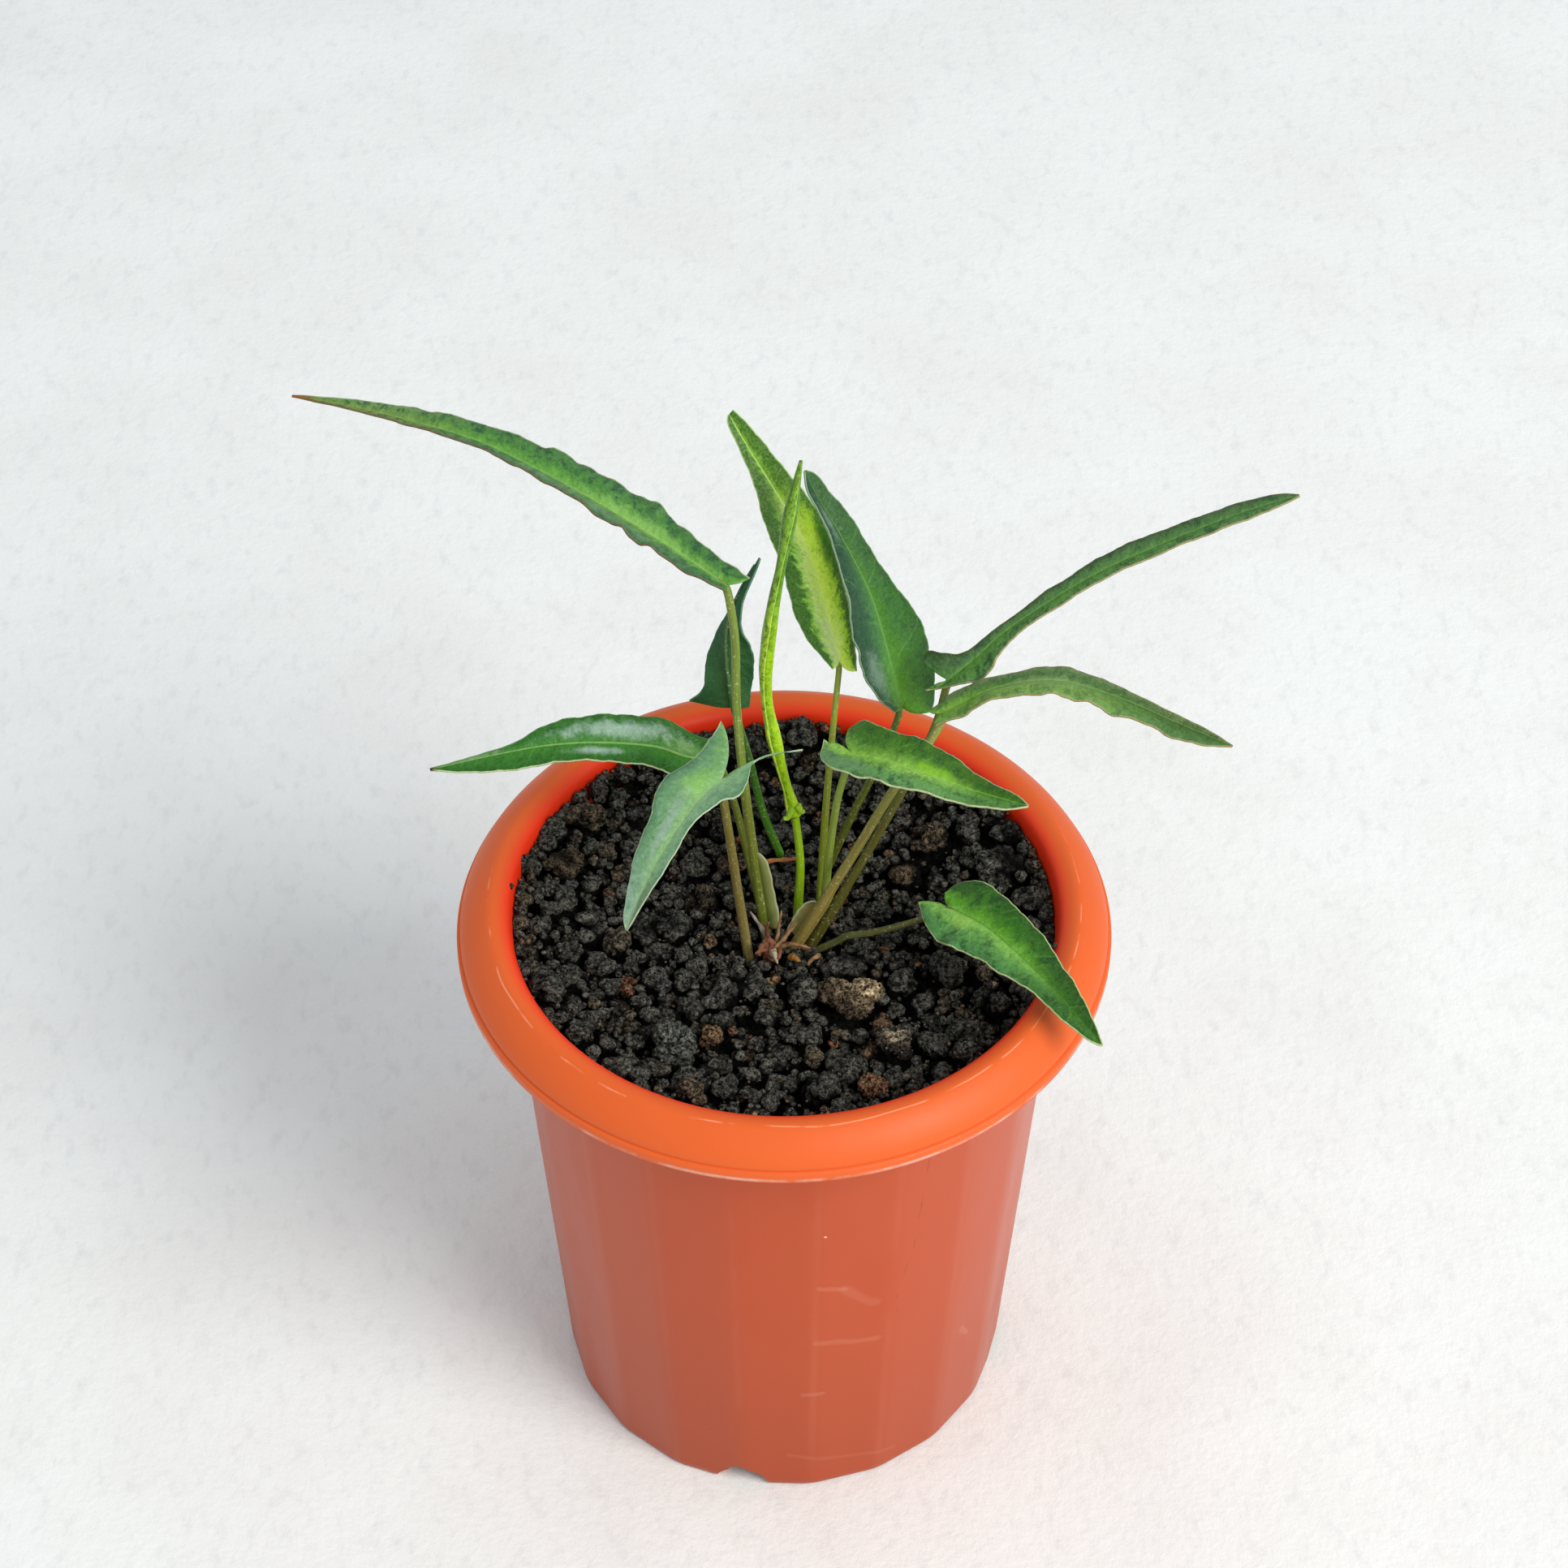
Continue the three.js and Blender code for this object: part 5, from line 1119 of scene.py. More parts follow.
# Lengths in millimetres, angles in degrees.
# petiole: from its ground point up; thick: its radius at both ends; foot: its direction into the grit.
# sheath: the way that the petiole's thickened side faces, and its height.
# wing: the way that a papery wing faces, its width and its height.
# midrib: from the petiole's top to the tip.
# left, right: the half outlines drawn flat, [out from the midrib, along it], from the lobe's tip on.
# heels: what steers the inner edge of each lobe; lift: how far the left and right lobe curl up.
# roll, fold: how the blade turns on its midrib and folds up along it, at its foot and at its tip.
# wave: swing and pitch of the margin, full at half_width.
# look: what leaf_lamina takes; stalk: colours of the petiole at the ground, at the top, and of its stripes.
LEAVES = {
    "leaf_long_left": dict(
        petiole=[[-4.9, 4.8, 149], [-8.8, 7, 187], [-11.1, 10, 217], [-11.4, 13, 237.5], [-13.2, 16, 251.7]],
        thick=[1.3, 1.0], sheath=[-70, 22], wing=[0, 3.6, 25],
        midrib=[[-13.9, 16, 252.9], [-28.7, 26, 257.3], [-43.6, 33, 263.2], [-60.1, 41, 268],
                [-73.7, 47, 270.8], [-96.3, 53, 273.7], [-115.5, 58, 274.4]],
        roll=[6, 6], fold=[22, 13],
        left=[[3, -2.4], [5.4, 3], [6.4, 10], [7.6, 21], [6.8, 31], [5, 42], [4, 58], [3.4, 78], [2.4, 92]],
        right=[[4.5, -4], [4.8, 2], [5.5, 14], [7.5, 24], [6.6, 38], [7.2, 46], [5.6, 60], [4.4, 78.5],
               [3, 92]],
        half_width=7, heels=[[0.8, -2.2], [1, -2.8]], wave=[0.8, 12.5], lift=[0, 0.5],
        look=dict(
            seed=1.0,
            bands=[(-1, "#3E6C46"), (-0.5, "#467A42"), (-0.15, "#72A850"), (0.15, "#5A983A"), (0.5, "#447C36"),
                   (1, "#467042")],
            tip_bands=[(-1, "#6A8434"), (-0.3, "#7C984E"), (0.5, "#668A46"), (1, "#6E8B5C")],
            change=(0.55, 0.85), ragged=1.0, mottle=0.85, mottle_from=0.48, dark="#1E4A34", rib="#9CC476",
            rib_strength=0.3, margin=("#6A5A3C", "#A8B890"), tip="#8A5A2A", tip_from=0.93, veins=0.1,
            gloss=0.36,
            # The pale grey patch on the left half is painted sheen
            patches=[(-0.6, 0.35, 0.35, 0.3, "#8EA48A", 0.3), (0.1, 0.2, 0.4, 0.2, "#A0CC70", 0.35)],
        ),
        stalk=("#6A7A2A", "#6F8A2C", "#6A4A28"),
    ),
    "leaf_variegated": dict(
        petiole=[[9.1, 16.6, 149], [10.4, 23, 173.4], [12.1, 30, 194.5], [13.4, 34, 209.3]],
        thick=[1.05, 0.75],
        midrib=[[13.3, 34, 211.4], [8, 47, 225.8], [3.9, 56, 233], [-2.7, 64, 240.8], [-7.9, 70, 246.5],
                [-13.3, 76, 253.5]],
        roll=[-34, -28], fold=[12, 7],
        left=[[2, -1.5], [5.6, 5.7], [7.6, 13], [7.3, 21], [6.8, 37], [3.7, 48], [2.2, 57], [1.5, 64]],
        right=[[4, -3.5], [5.8, 5], [6.4, 13.5], [7, 24], [6.2, 38], [4.7, 49], [3.6, 58], [1.6, 66]],
        half_width=7.5, heels=[[0.5, -1.6], [0.8, -3.2]], wave=[0.6, 15], lift=[0, 0],
        look=dict(
            seed=2.0, glow=0.08,
            bands=[(-1, "#2E641A"), (-0.58, "#3C7A24"), (-0.44, "#9CDC50"), (-0.2, "#E0FF8A"), (0.1, "#DEFF58"),
                   (0.52, "#BCE828"), (0.7, "#8CBC14"), (0.78, "#427208"), (1, "#366606")],
            tip_bands=[(-1, "#3C662A"), (-0.25, "#2E6216"), (-0.08, "#5E9A1C"), (0.1, "#78AE2A"),
                       (0.3, "#387008"), (1, "#225A08")],
            change=(0.42, 0.72), ragged=1.15, streak=55.0, grain=0.3, islands=60.0, mottle=0.9,
            mottle_from=0.53, dark="#2E6A10", rib="#E0FFA8", rib_strength=0.4, margin=("#A0C478", "#A0C478"),
            veins=0.1, vein="#E4F4A0", gloss=0.38,
            patches=[(-0.15, 0.06, 0.35, 0.16, "#ECFFC0", 0.5), (0.3, 0.1, 0.3, 0.12, "#E0FC90", 0.4),
                     (0.75, 0.42, 0.3, 0.14, "#2E6A0C", 0.85)],
        ),
        stalk=("#8A9A2A", "#8FA030", "#6F7A28"),
    ),
    "leaf_broad_back": dict(
        petiole=[[10.4, 22.6, 149.4], [17.3, 25, 168.5], [24.7, 28, 186.7], [28.3, 30, 198.6]],
        thick=[1.1, 0.85],
        midrib=[[28.4, 30, 200.3], [24.8, 34, 215.2], [20.6, 38, 229.5], [13.5, 43, 243.7], [7.7, 47, 253],
                [5, 49, 258.9]],
        roll=[5, 1], fold=[15, 9],
        left=[[3.8, 0.5], [8.2, 6.5], [11, 14], [11.9, 21], [11.3, 32], [7.6, 41.5], [4, 50], [2.8, 57],
              [2.3, 63]],
        right=[[7.8, -5.4], [10.4, 3.5], [11, 13], [10, 22], [7.2, 29.5], [5.8, 38], [5.1, 49], [3.5, 59],
               [2.4, 64]],
        half_width=10, heels=[[0.8, -1.2], [1.2, -4.2]], wave=[0.5, 17], lift=[0, 0],
        look=dict(
            seed=3.0,
            bands=[(-1, "#143C2A"), (-0.5, "#1C4C30"), (-0.14, "#447A3E"), (0.1, "#40781C"), (0.45, "#336A26"),
                   (1, "#225410")],
            tip_bands=[(-1, "#0E362A"), (-0.3, "#264C32"), (0.3, "#2E5A2A"), (1, "#385A34")],
            heart=("#62A418", 0.6, 0.32), ragged=0.7, mottle=0.5, mottle_from=0.48, dark="#103624",
            rib="#6EA04C", rib_strength=0.55, margin=("#8AA486", "#7CA06C"), veins=0.35, vein_step=11.0,
            vein="#6A9C50",
            # Both pale grey patches are painted sheen
            patches=[(-0.62, 0.2, 0.3, 0.12, "#7E9A88", 0.5), (-0.5, 0.8, 0.3, 0.1, "#86A08E", 0.4)],
        ),
        stalk=("#5A6018", "#5F7A28", "#4A5014"),
    ),
    "leaf_long_right": dict(
        petiole=[[8.4, 2.6, 149], [18.7, 8, 167.4], [28.3, 13, 186.9], [35.9, 18, 203.5], [38.8, 22, 214.2]],
        thick=[1.2, 0.95], sheath=[-60, 16], wing=[150, 2.6, 10],
        midrib=[[39.1, 22, 216.4], [46.3, 26, 220.6], [54, 30, 226.1], [72.6, 37, 235.9], [88.4, 42, 241.3],
                [108.4, 47, 247.4], [122.5, 50, 250.4]],
        roll=[10, 10], fold=[14, 6],
        left=[[8.6, -1.5], [8.6, 1], [5.6, 3.2], [2.9, 7], [2, 16], [2, 24], [2.6, 31], [2.6, 38], [3.2, 46],
              [3.3, 58], [2.9, 69], [2.6, 80], [1.9, 90]],
        right=[[-1.6, -5.8], [2, -1], [5.6, 4.5], [6.4, 9], [4.4, 13.5], [3.1, 21], [3.1, 31], [2.9, 43],
               [3, 55], [2.8, 64], [3, 72], [2.6, 84], [1.6, 91]],
        half_width=4, heels=[[3.5, -1.8], [-1.4, -3]], wave=[0.5, 13], lift=[0, 0],
        look=dict(
            seed=4.0,
            bands=[(-1, "#263E1E"), (-0.5, "#486C3E"), (-0.1, "#467638"), (0.2, "#528632"), (0.6, "#4E7E3C"),
                   (1, "#587E4A")],
            tip_bands=[(-1, "#3E5238"), (0, "#447236"), (0.6, "#4E7C42"), (1, "#5A774A")], ragged=0.8,
            mottle=0.8, mottle_from=0.48, dark="#1C4028", rib="#78A854", rib_strength=0.4,
            margin=("#5A5A3A", "#A09468"), veins=0.1,
        ),
        stalk=("#4A4A10", "#6A7A26", "#5A3A1C"),
    ),
    "leaf_arching_right": dict(
        petiole=[[3.4, 0, 149], [15.6, 4, 172.1], [26.1, 8, 192.8], [34.3, 11, 205.7], [37.8, 13, 212.1]],
        thick=[1.3, 1.05], sheath=[-150, 20], wing=[160, 3.5, 12],
        midrib=[[38, 13, 214.3], [49.8, 15, 220.4], [64.2, 16, 222.1], [78.8, 15, 217.7], [93.4, 12, 212],
                [106.7, 8, 208.1]],
        roll=[0, 10], fold=[10, 5],
        left=[[2.4, -3.4], [3.8, 3], [3.4, 12], [2.8, 17], [3.8, 26], [3.6, 36], [2.9, 44], [2.2, 53],
              [1.6, 65]],
        right=[[3, -3], [4.4, 4], [4.4, 16], [5.7, 26], [5.9, 36], [6.3, 42], [5.4, 50], [5, 60], [3.6, 67]],
        half_width=5.5, heels=[[0.8, -3], [0.8, -2.6]], wave=[0.7, 13], lift=[-1.5, -1.5],
        look=dict(
            seed=5.0,
            bands=[(-1, "#687A54"), (-0.5, "#4A6C3C"), (-0.15, "#365F28"), (0.15, "#56843E"), (0.5, "#6C923E"),
                   (1, "#74A05A")],
            tip_bands=[(-1, "#6E7E4E"), (-0.4, "#46622E"), (0, "#34521C"), (0.5, "#446A32"), (1, "#4E7844")],
            heart=("#7CB43E", 0.8, 0.25), ragged=0.85, mottle=0.5, mottle_from=0.48, dark="#1E4424",
            rib="#80AA52", rib_strength=0.45, margin=("#84845A", "#988A5A"), veins=0.1,
            patches=[(0.1, 0.35, 0.5, 0.2, "#94AC78", 0.35)],
        ),
        stalk=("#8A7A3A", "#8A9440", "#5A4A20"),
    ),
    "leaf_low_left": dict(
        petiole=[[-6.3, 13.8, 149], [-9.6, 16, 166.3], [-12.1, 17, 179.5], [-15.3, 17, 192.9]],
        thick=[1.05, 0.85],
        midrib=[[-15.9, 17, 194], [-23.7, 17, 195.7], [-31.1, 17, 199], [-43.5, 16, 201.3], [-55.9, 15, 201.5],
                [-68.2, 13, 200.5], [-84.9, 10, 198.2]],
        roll=[-20, -20], fold=[8, 4],
        left=[[5, -1.5], [6.6, 6.5], [6.4, 13], [5.8, 20], [5.2, 30], [5, 39], [5.4, 48], [3.7, 60.5]],
        right=[[4.6, -2], [6.2, 8.5], [7.3, 16], [7.3, 26], [6.3, 37], [4.4, 44], [2, 50], [1, 58]],
        half_width=7, heels=[[0.8, -2], [0.8, -2]], wave=[0.5, 14], lift=[0, 0],
        look=dict(
            seed=6.0,
            bands=[(-1, "#22581A"), (-0.5, "#2E6E22"), (-0.1, "#3A7A26"), (0.25, "#3C7A32"), (0.6, "#2A6822"),
                   (1, "#2E6424")],
            ragged=0.6, mottle=0.5, dark="#153F1E", rib="#98C470", rib_strength=0.6,
            margin=("#C0D09C", "#5E8A50"), veins=0.3, vein_step=9.0, vein="#66A04E", tip="#5A3A20", gloss=0.28,
            # The two whitish patches near the middle are painted sheen
            patches=[(0.5, 0.36, 0.34, 0.24, "#A4C0B2", 0.7), (-0.45, 0.42, 0.24, 0.12, "#B0C8BE", 0.6),
                     (0.5, 0.86, 0.5, 0.12, "#94A686", 0.5), (0.3, 0.12, 0.3, 0.08, "#90B86E", 0.4)],
        ),
        stalk=("#5F6A22", "#6F8A30", "#5A4A20"),
    ),
    "leaf_front_arrow": dict(
        petiole=[[-9, -3.2, 149], [-11.4, -4, 172.8], [-13.3, -6, 194.6], [-14.5, -8, 208.9]],
        thick=[1.25, 1.0],
        midrib=[[-14.6, -8, 212.7], [-18.2, -12, 212.9], [-22.8, -19, 211.9], [-27.1, -25, 208.7],
                [-31.8, -31, 202.7], [-36.7, -36, 191.2]],
        roll=[-12, -15], fold=[6, 4],
        left=[[6.2, -21.5], [1.8, -14], [1.4, -9], [5, -3.3], [6.3, 1.2], [4.7, 5.3], [3.5, 10.5], [2.6, 15],
              [2.9, 22], [2.7, 29], [1.7, 36]],
        right=[[11.8, -11.6], [9.4, -4], [8.2, 1], [8.6, 5], [9.4, 8.5], [9, 13], [6.8, 18.6], [5.6, 26],
               [3.6, 34.5], [2, 42]],
        half_width=8, heels=[[-0.8, -11], [4.5, -9.5]], wave=[0.4, 14], lift=[0, 0],
        look=dict(
            seed=7.0,
            bands=[(-1, "#4E765A"), (-0.75, "#68906E"), (-0.3, "#7AA078"), (0, "#80AA74"), (0.3, "#66965C"),
                   (0.7, "#649068"), (1, "#4A7254")],
            tip_bands=[(-1, "#4C664A"), (-0.3, "#70886A"), (0.3, "#86A68A"), (1, "#94B2A4")], change=(0.5, 0.9),
            ragged=0.8, mottle=0.45, mottle_from=0.48, rib="#8AB474", rib_strength=0.35,
            margin=("#B4C8A8", "#A0BC90"), veins=0.15, vein="#84B080", dark="#3E6E4C", gloss=0.4,
            # The pale grey patch is painted sheen
            patches=[(0.3, 0.12, 0.4, 0.12, "#8EC45C", 0.55), (0.35, 0.42, 0.22, 0.3, "#A0AEB0", 0.45)],
        ),
        stalk=("#857A45", "#6A6A20", "#6A5A30"),
    ),
    "leaf_back_left": dict(
        petiole=[[-1.2, 29.6, 149.4], [-5.3, 31.5, 161.9], [-8.8, 34, 179.4], [-12.2, 37, 191.9]],
        thick=[1.1, 0.85],
        midrib=[[-12.5, 37, 193], [-13.7, 40, 203.6], [-13.4, 43, 213.5], [-10.6, 46, 222.2],
                [-5.7, 49, 231.1]],
        roll=[158, 158], fold=[15, 8],
        left=[[4, -1], [6, 7], [6.5, 13], [5.6, 19], [3.9, 24], [2.4, 29], [1.8, 36]],
        right=[[11, 1.6], [6.6, 6], [6.1, 11.2], [4.4, 17.5], [3, 23.6], [1.8, 30], [1.2, 36.5]],
        half_width=6.5, heels=[[0.8, -1.4], [4.5, -1.2]], wave=[0.4, 13], lift=[0, 0],
        look=dict(
            seed=8.0, bands=[(-1, "#305C2E"), (-0.4, "#42703A"), (0.2, "#345E28"), (1, "#366238")],
            tip_bands=[(-1, "#10402A"), (0, "#2E584A"), (1, "#2C5450")], ragged=0.4, rib="#62965A",
            margin=("#5E8A70", "#5E8A70"), veins=0.25, under="#285630", rib_strength=0.5,
        ),
        stalk=("#4A8A1A", "#20442C", "#3A5A24"),
    ),
    "leaf_low_right": dict(
        petiole=[[9.9, 9.6, 149.5], [11.1, 8.2, 171.5], [12.9, 6.4, 191.6], [15.4, 5.2, 205.2]],
        thick=[1.1, 0.85],
        midrib=[[16.2, 5, 208.4], [24, 1, 210.4], [34, -4.5, 211.1], [44.5, -9, 210.2], [57, -14.5, 210.6]],
        roll=[0, 8], fold=[11, 3],
        left=[[7.4, -4.2], [9.9, -2.4], [9.4, 2], [8.2, 6.6], [8.7, 11], [8.1, 16.5], [7.1, 23], [4.8, 30],
              [3.2, 36], [2, 42]],
        right=[[-2.6, -9], [4, -6.5], [7.8, -1.5], [8.8, 4], [8.4, 9], [8.4, 14], [6.9, 20], [6, 26], [4.6, 35],
               [2.6, 42]],
        half_width=8, heels=[[2, -4], [-2.4, -4]], wave=[0.5, 12], lift=[0, 0],
        look=dict(
            seed=9.0,
            bands=[(-1, "#386216"), (-0.5, "#3C6E1E"), (-0.15, "#6A9A38"), (0.12, "#90C452"), (0.5, "#649850"),
                   (1, "#5C8C58")],
            tip_bands=[(-1, "#465C10"), (-0.4, "#265608"), (0, "#376C10"), (0.4, "#4C7E38"), (1, "#4C763A")],
            change=(0.45, 0.85), ragged=1.0, islands=26.0, mottle=0.8, mottle_from=0.49, dark="#1A4624",
            rib="#8CBA54", rib_strength=0.5, margin=("#9AB488", "#C0CC9C"), veins=0.3, vein_step=8.0,
            vein="#6EAA3A",
            patches=[(0.6, 0.05, 0.35, 0.12, "#5E8068", 0.5), (-0.15, 0.45, 0.25, 0.16, "#86C420", 0.6)],
        ),
        stalk=("#8FA845", "#8FA845", "#7A8A38"),
    ),
    "leaf_over_rim": dict(
        petiole=[[13, -0.6, 149], [15.6, -1.4, 151.8], [20.2, -3, 154.4], [26.4, -5.4, 159], [34.2, -7.7, 165],
                 [39.3, -7.3, 168]],
        foot=[-0.75, 0.1, -0.6], thick=[0.95, 0.8],
        midrib=[[39.7, -7.2, 168.5], [48.5, -16.2, 171], [56.6, -27.1, 172], [64.6, -37.7, 171],
                [74.6, -51.3, 168]],
        roll=[12, 8], fold=[7, 7],
        left=[[3, -3.3], [6.3, -2.4], [8.8, 0.6], [9.6, 7], [8.5, 13.6], [8, 19.5], [7.2, 27.5], [5.7, 34],
              [4.7, 41], [2.4, 50.5]],
        right=[[3, -7.3], [6.2, -2.6], [9, 2], [10.6, 8.5], [9.6, 14.5], [8.2, 21], [7.6, 26], [5.6, 32],
               [4.4, 39], [4, 45], [2, 54]],
        half_width=8.5, heels=[[1, -2.6], [0.4, -4.6]], wave=[0.5, 12], lift=[0, 0],
        look=dict(
            seed=10.0,
            bands=[(-1, "#26521A"), (-0.55, "#366C22"), (-0.15, "#5EA02A"), (0.15, "#84BE56"),
                   (0.55, "#56904A"), (1, "#467A48")],
            tip_bands=[(-1, "#1E400E"), (-0.3, "#265414"), (0.1, "#326418"), (0.5, "#3A6A2A"), (1, "#205412")],
            change=(0.35, 0.8), ragged=1.0, islands=24.0, mottle=0.8, mottle_from=0.49, dark="#174020",
            rib="#527826", rib_strength=0.45, margin=("#BCCC94", "#BCCC94"), veins=0.3, vein_step=9.0,
            vein="#70AA44",
            patches=[(0.2, 0.12, 0.3, 0.1, "#A0D45E", 0.5), (-0.5, 0.3, 0.3, 0.12, "#2E7012", 0.5)],
        ),
        stalk=("#5A6030", "#5F6A34", "#4A4A24"),
    ),
}
# How deep a stem goes into the grit, and how thin its midrib ends
BURIED = 9
RIB_TIP = 0.22
# Rows of a blade slant forwards by this much for each millimetre outwards
VEIN_SLANT = 0.35
WAVE_PHASE = 1.9
SHEATH_WING = 0.8
SHEATH_THICKNESS = 0.00035
# Rows over each lobe behind the midrib's foot, and points from midrib to margin
LOBE_ROWS = 16
COLUMNS = 11


class LeafSettings(bpy.types.PropertyGroup):
    """Sizes that all leaves share."""

    thickness: FloatProperty(
        name="Blade Thickness", description="Thickness of a blade", default=0.00045, unit="LENGTH"
    )
    row_step: FloatProperty(
        name="Row Step", description="Spacing of the rows along a blade", default=0.0009, unit="LENGTH"
    )
    quilting: FloatProperty(
        name="Quilting", description="How far the blade rises between its veins", default=0.00016, unit="LENGTH"
    )


def rolled_up(leaf, along, share):
    """The way that the blade's upper face looks along its midrib, rolled as far as the leaf says."""
    up = unit(np.array([0, 0, 1.0]) - along * along[:, 2:])
    roll = np.radians(leaf["roll"][0] + (leaf["roll"][1] - leaf["roll"][0]) * share)[:, None]
    return up * np.cos(roll) + np.cross(along, up) * np.sin(roll)


def blade_points(leaf, rib, x, y, edge_x):
    """Where points of the flat leaf lie once the blade is bent, rolled, folded and waved."""
    length = rib.length
    u = np.clip(y / length, 0, 1)
    along = rib.tangent(u * length)
    up = rolled_up(leaf, along, u)
    right = np.cross(along, up)
    fold = np.radians(leaf["fold"][0] + (leaf["fold"][1] - leaf["fold"][0]) * u)
    across = np.abs(x)
    swing, pitch = leaf["wave"]
    share = np.minimum(across / leaf["half_width"], 1.3)
    turn = 2 * np.pi * y / pitch + np.where(x > 0, WAVE_PHASE, 0)
    turn = turn + 0.9 * np.sin(0.41 * turn + leaf["look"]["seed"])
    wave = 0.8 * swing * share**2 * (np.sin(turn) + 0.35 * np.sin(2.3 * turn + 1))
    back = np.clip(1 - y / 8, 0, 1)
    reach = np.minimum(np.hypot(x, y) / 10, 1.5)
    lift = np.where(x > 0, leaf["lift"][1], leaf["lift"][0]) * back * reach**2
    # Each half is slightly domed between midrib and margin
    inner_share = across / np.maximum(np.abs(edge_x), 0.5)
    dome = 0.35 * inner_share * (1 - inner_share) * np.minimum(np.abs(edge_x), 6) / 2.5
    point = rib.point(u * length) + along * (y - u * length)[:, None] + right * (x * np.cos(fold))[:, None]
    return point + up * (across * np.sin(fold) + wave + lift + dome)[:, None], up


def half_grid(outline, heel, stations):
    """One half of the flat leaf: inner and outer point of each row."""
    edge = Path(outline, straight_ends=False)
    samples = edge.point(np.linspace(0, edge.length, 1200))
    inward = samples[:, 1] - VEIN_SLANT * samples[:, 0]
    start = 40 + int(np.argmax(inward[40:] >= 0))
    q = np.arange(LOBE_ROWS) / LOBE_ROWS
    tip, heel = samples[0], np.array(heel, float)
    inner = (1 - q)[:, None] ** 2 * tip + (2 * q * (1 - q))[:, None] * heel
    outer = samples[np.round(start * q).astype(int)]
    rising = np.maximum.accumulate(inward[start:]) + np.linspace(0, 1e-6, len(samples) - start)
    place = np.interp(stations, rising, np.arange(start, len(samples)))
    found = np.stack([np.interp(place, np.arange(len(samples)), samples[:, k]) for k in (0, 1)], -1)
    return np.vstack([inner, np.stack([np.zeros(len(stations)), stations], -1)]), np.vstack([outer, found])


def blade(name, leaf, settings, materials):
    """The blade as one thickened sheet with its maps; returns its midrib."""
    rib = Path(leaf["midrib"])
    length = rib.length
    stations = np.linspace(0, length, int(length * MM / settings.row_step))
    seed = leaf["look"]["seed"]
    points, faces, place, flat, edge_map, start = [], [], [], [], [], 0
    for side, outline, heel in ((-1, leaf["left"], leaf["heels"][0]), (1, leaf["right"], leaf["heels"][1])):
        inner, outer = half_grid([*outline, [0.3, length]], heel, stations)
        share = np.linspace(0, 1, COLUMNS) ** 0.9
        ripple = 0.1 * np.sin(outer[:, 1] * 0.9 + seed) + 0.06 * np.sin(outer[:, 1] * 2.3 + 2 * side)
        outer[:, 0] += ripple * np.clip((outer[:, 0] - 0.8) / 3, 0, 1)
        grid = inner[:, None] + (outer - inner)[:, None] * share[:, None]
        width = np.abs(outer[:, 0] - inner[:, 0])[:, None] + 0 * share
        x, y = (side * grid[..., 0]).ravel(), grid[..., 1].ravel()
        outer_x = np.repeat(outer[:, 0], COLUMNS)
        bent, up = blade_points(leaf, rib, x, y, outer_x)
        vein = (y - 0.8 * np.abs(x)) / 5.6 + 0.35 * np.sin(y * 0.31 + seed) + 0.2 * np.sin(x * 0.9 + y * 0.17)
        inside = np.tile(share, len(grid))
        swell = 0.6 + 0.4 * np.sin(y * 0.23 + 2.1 * seed)
        quilt = settings.quilting / MM * swell * (np.abs(np.sin(np.pi * vein)) - 0.6)
        quilt = quilt * np.sin(np.pi * inside) ** 0.7
        groove = -0.2 * np.exp(-((x / 0.7) ** 2)) * (y > -2)
        bent = bent + up * (quilt + groove)[:, None]
        points.append(bent)
        faces += [[k + start for k in quad[::side]] for quad in grid_faces(len(grid), COLUMNS)]
        place.append(np.stack([side * inside, np.clip(y / length, 0, 1)], -1))
        flat.append(np.stack([x, y], -1) / 100)
        edge_map.append(np.stack([(width.ravel() * (1 - inside)) / 100, y / 100], -1))
        start += len(bent)
    piece = make_piece(name, np.vstack(points), faces, materials, [leaf["node"]])
    for map_name, values in (("place", place), ("flat", flat), ("edge", edge_map)):
        add_map(piece.data, map_name, np.vstack(values))
    with opened(piece.data) as shape:
        bmesh.ops.remove_doubles(shape, verts=shape.verts, dist=2e-6)
        bmesh.ops.dissolve_degenerate(shape, edges=shape.edges, dist=1e-6)
    thicken(piece, settings.thickness, back=1)
    return rib


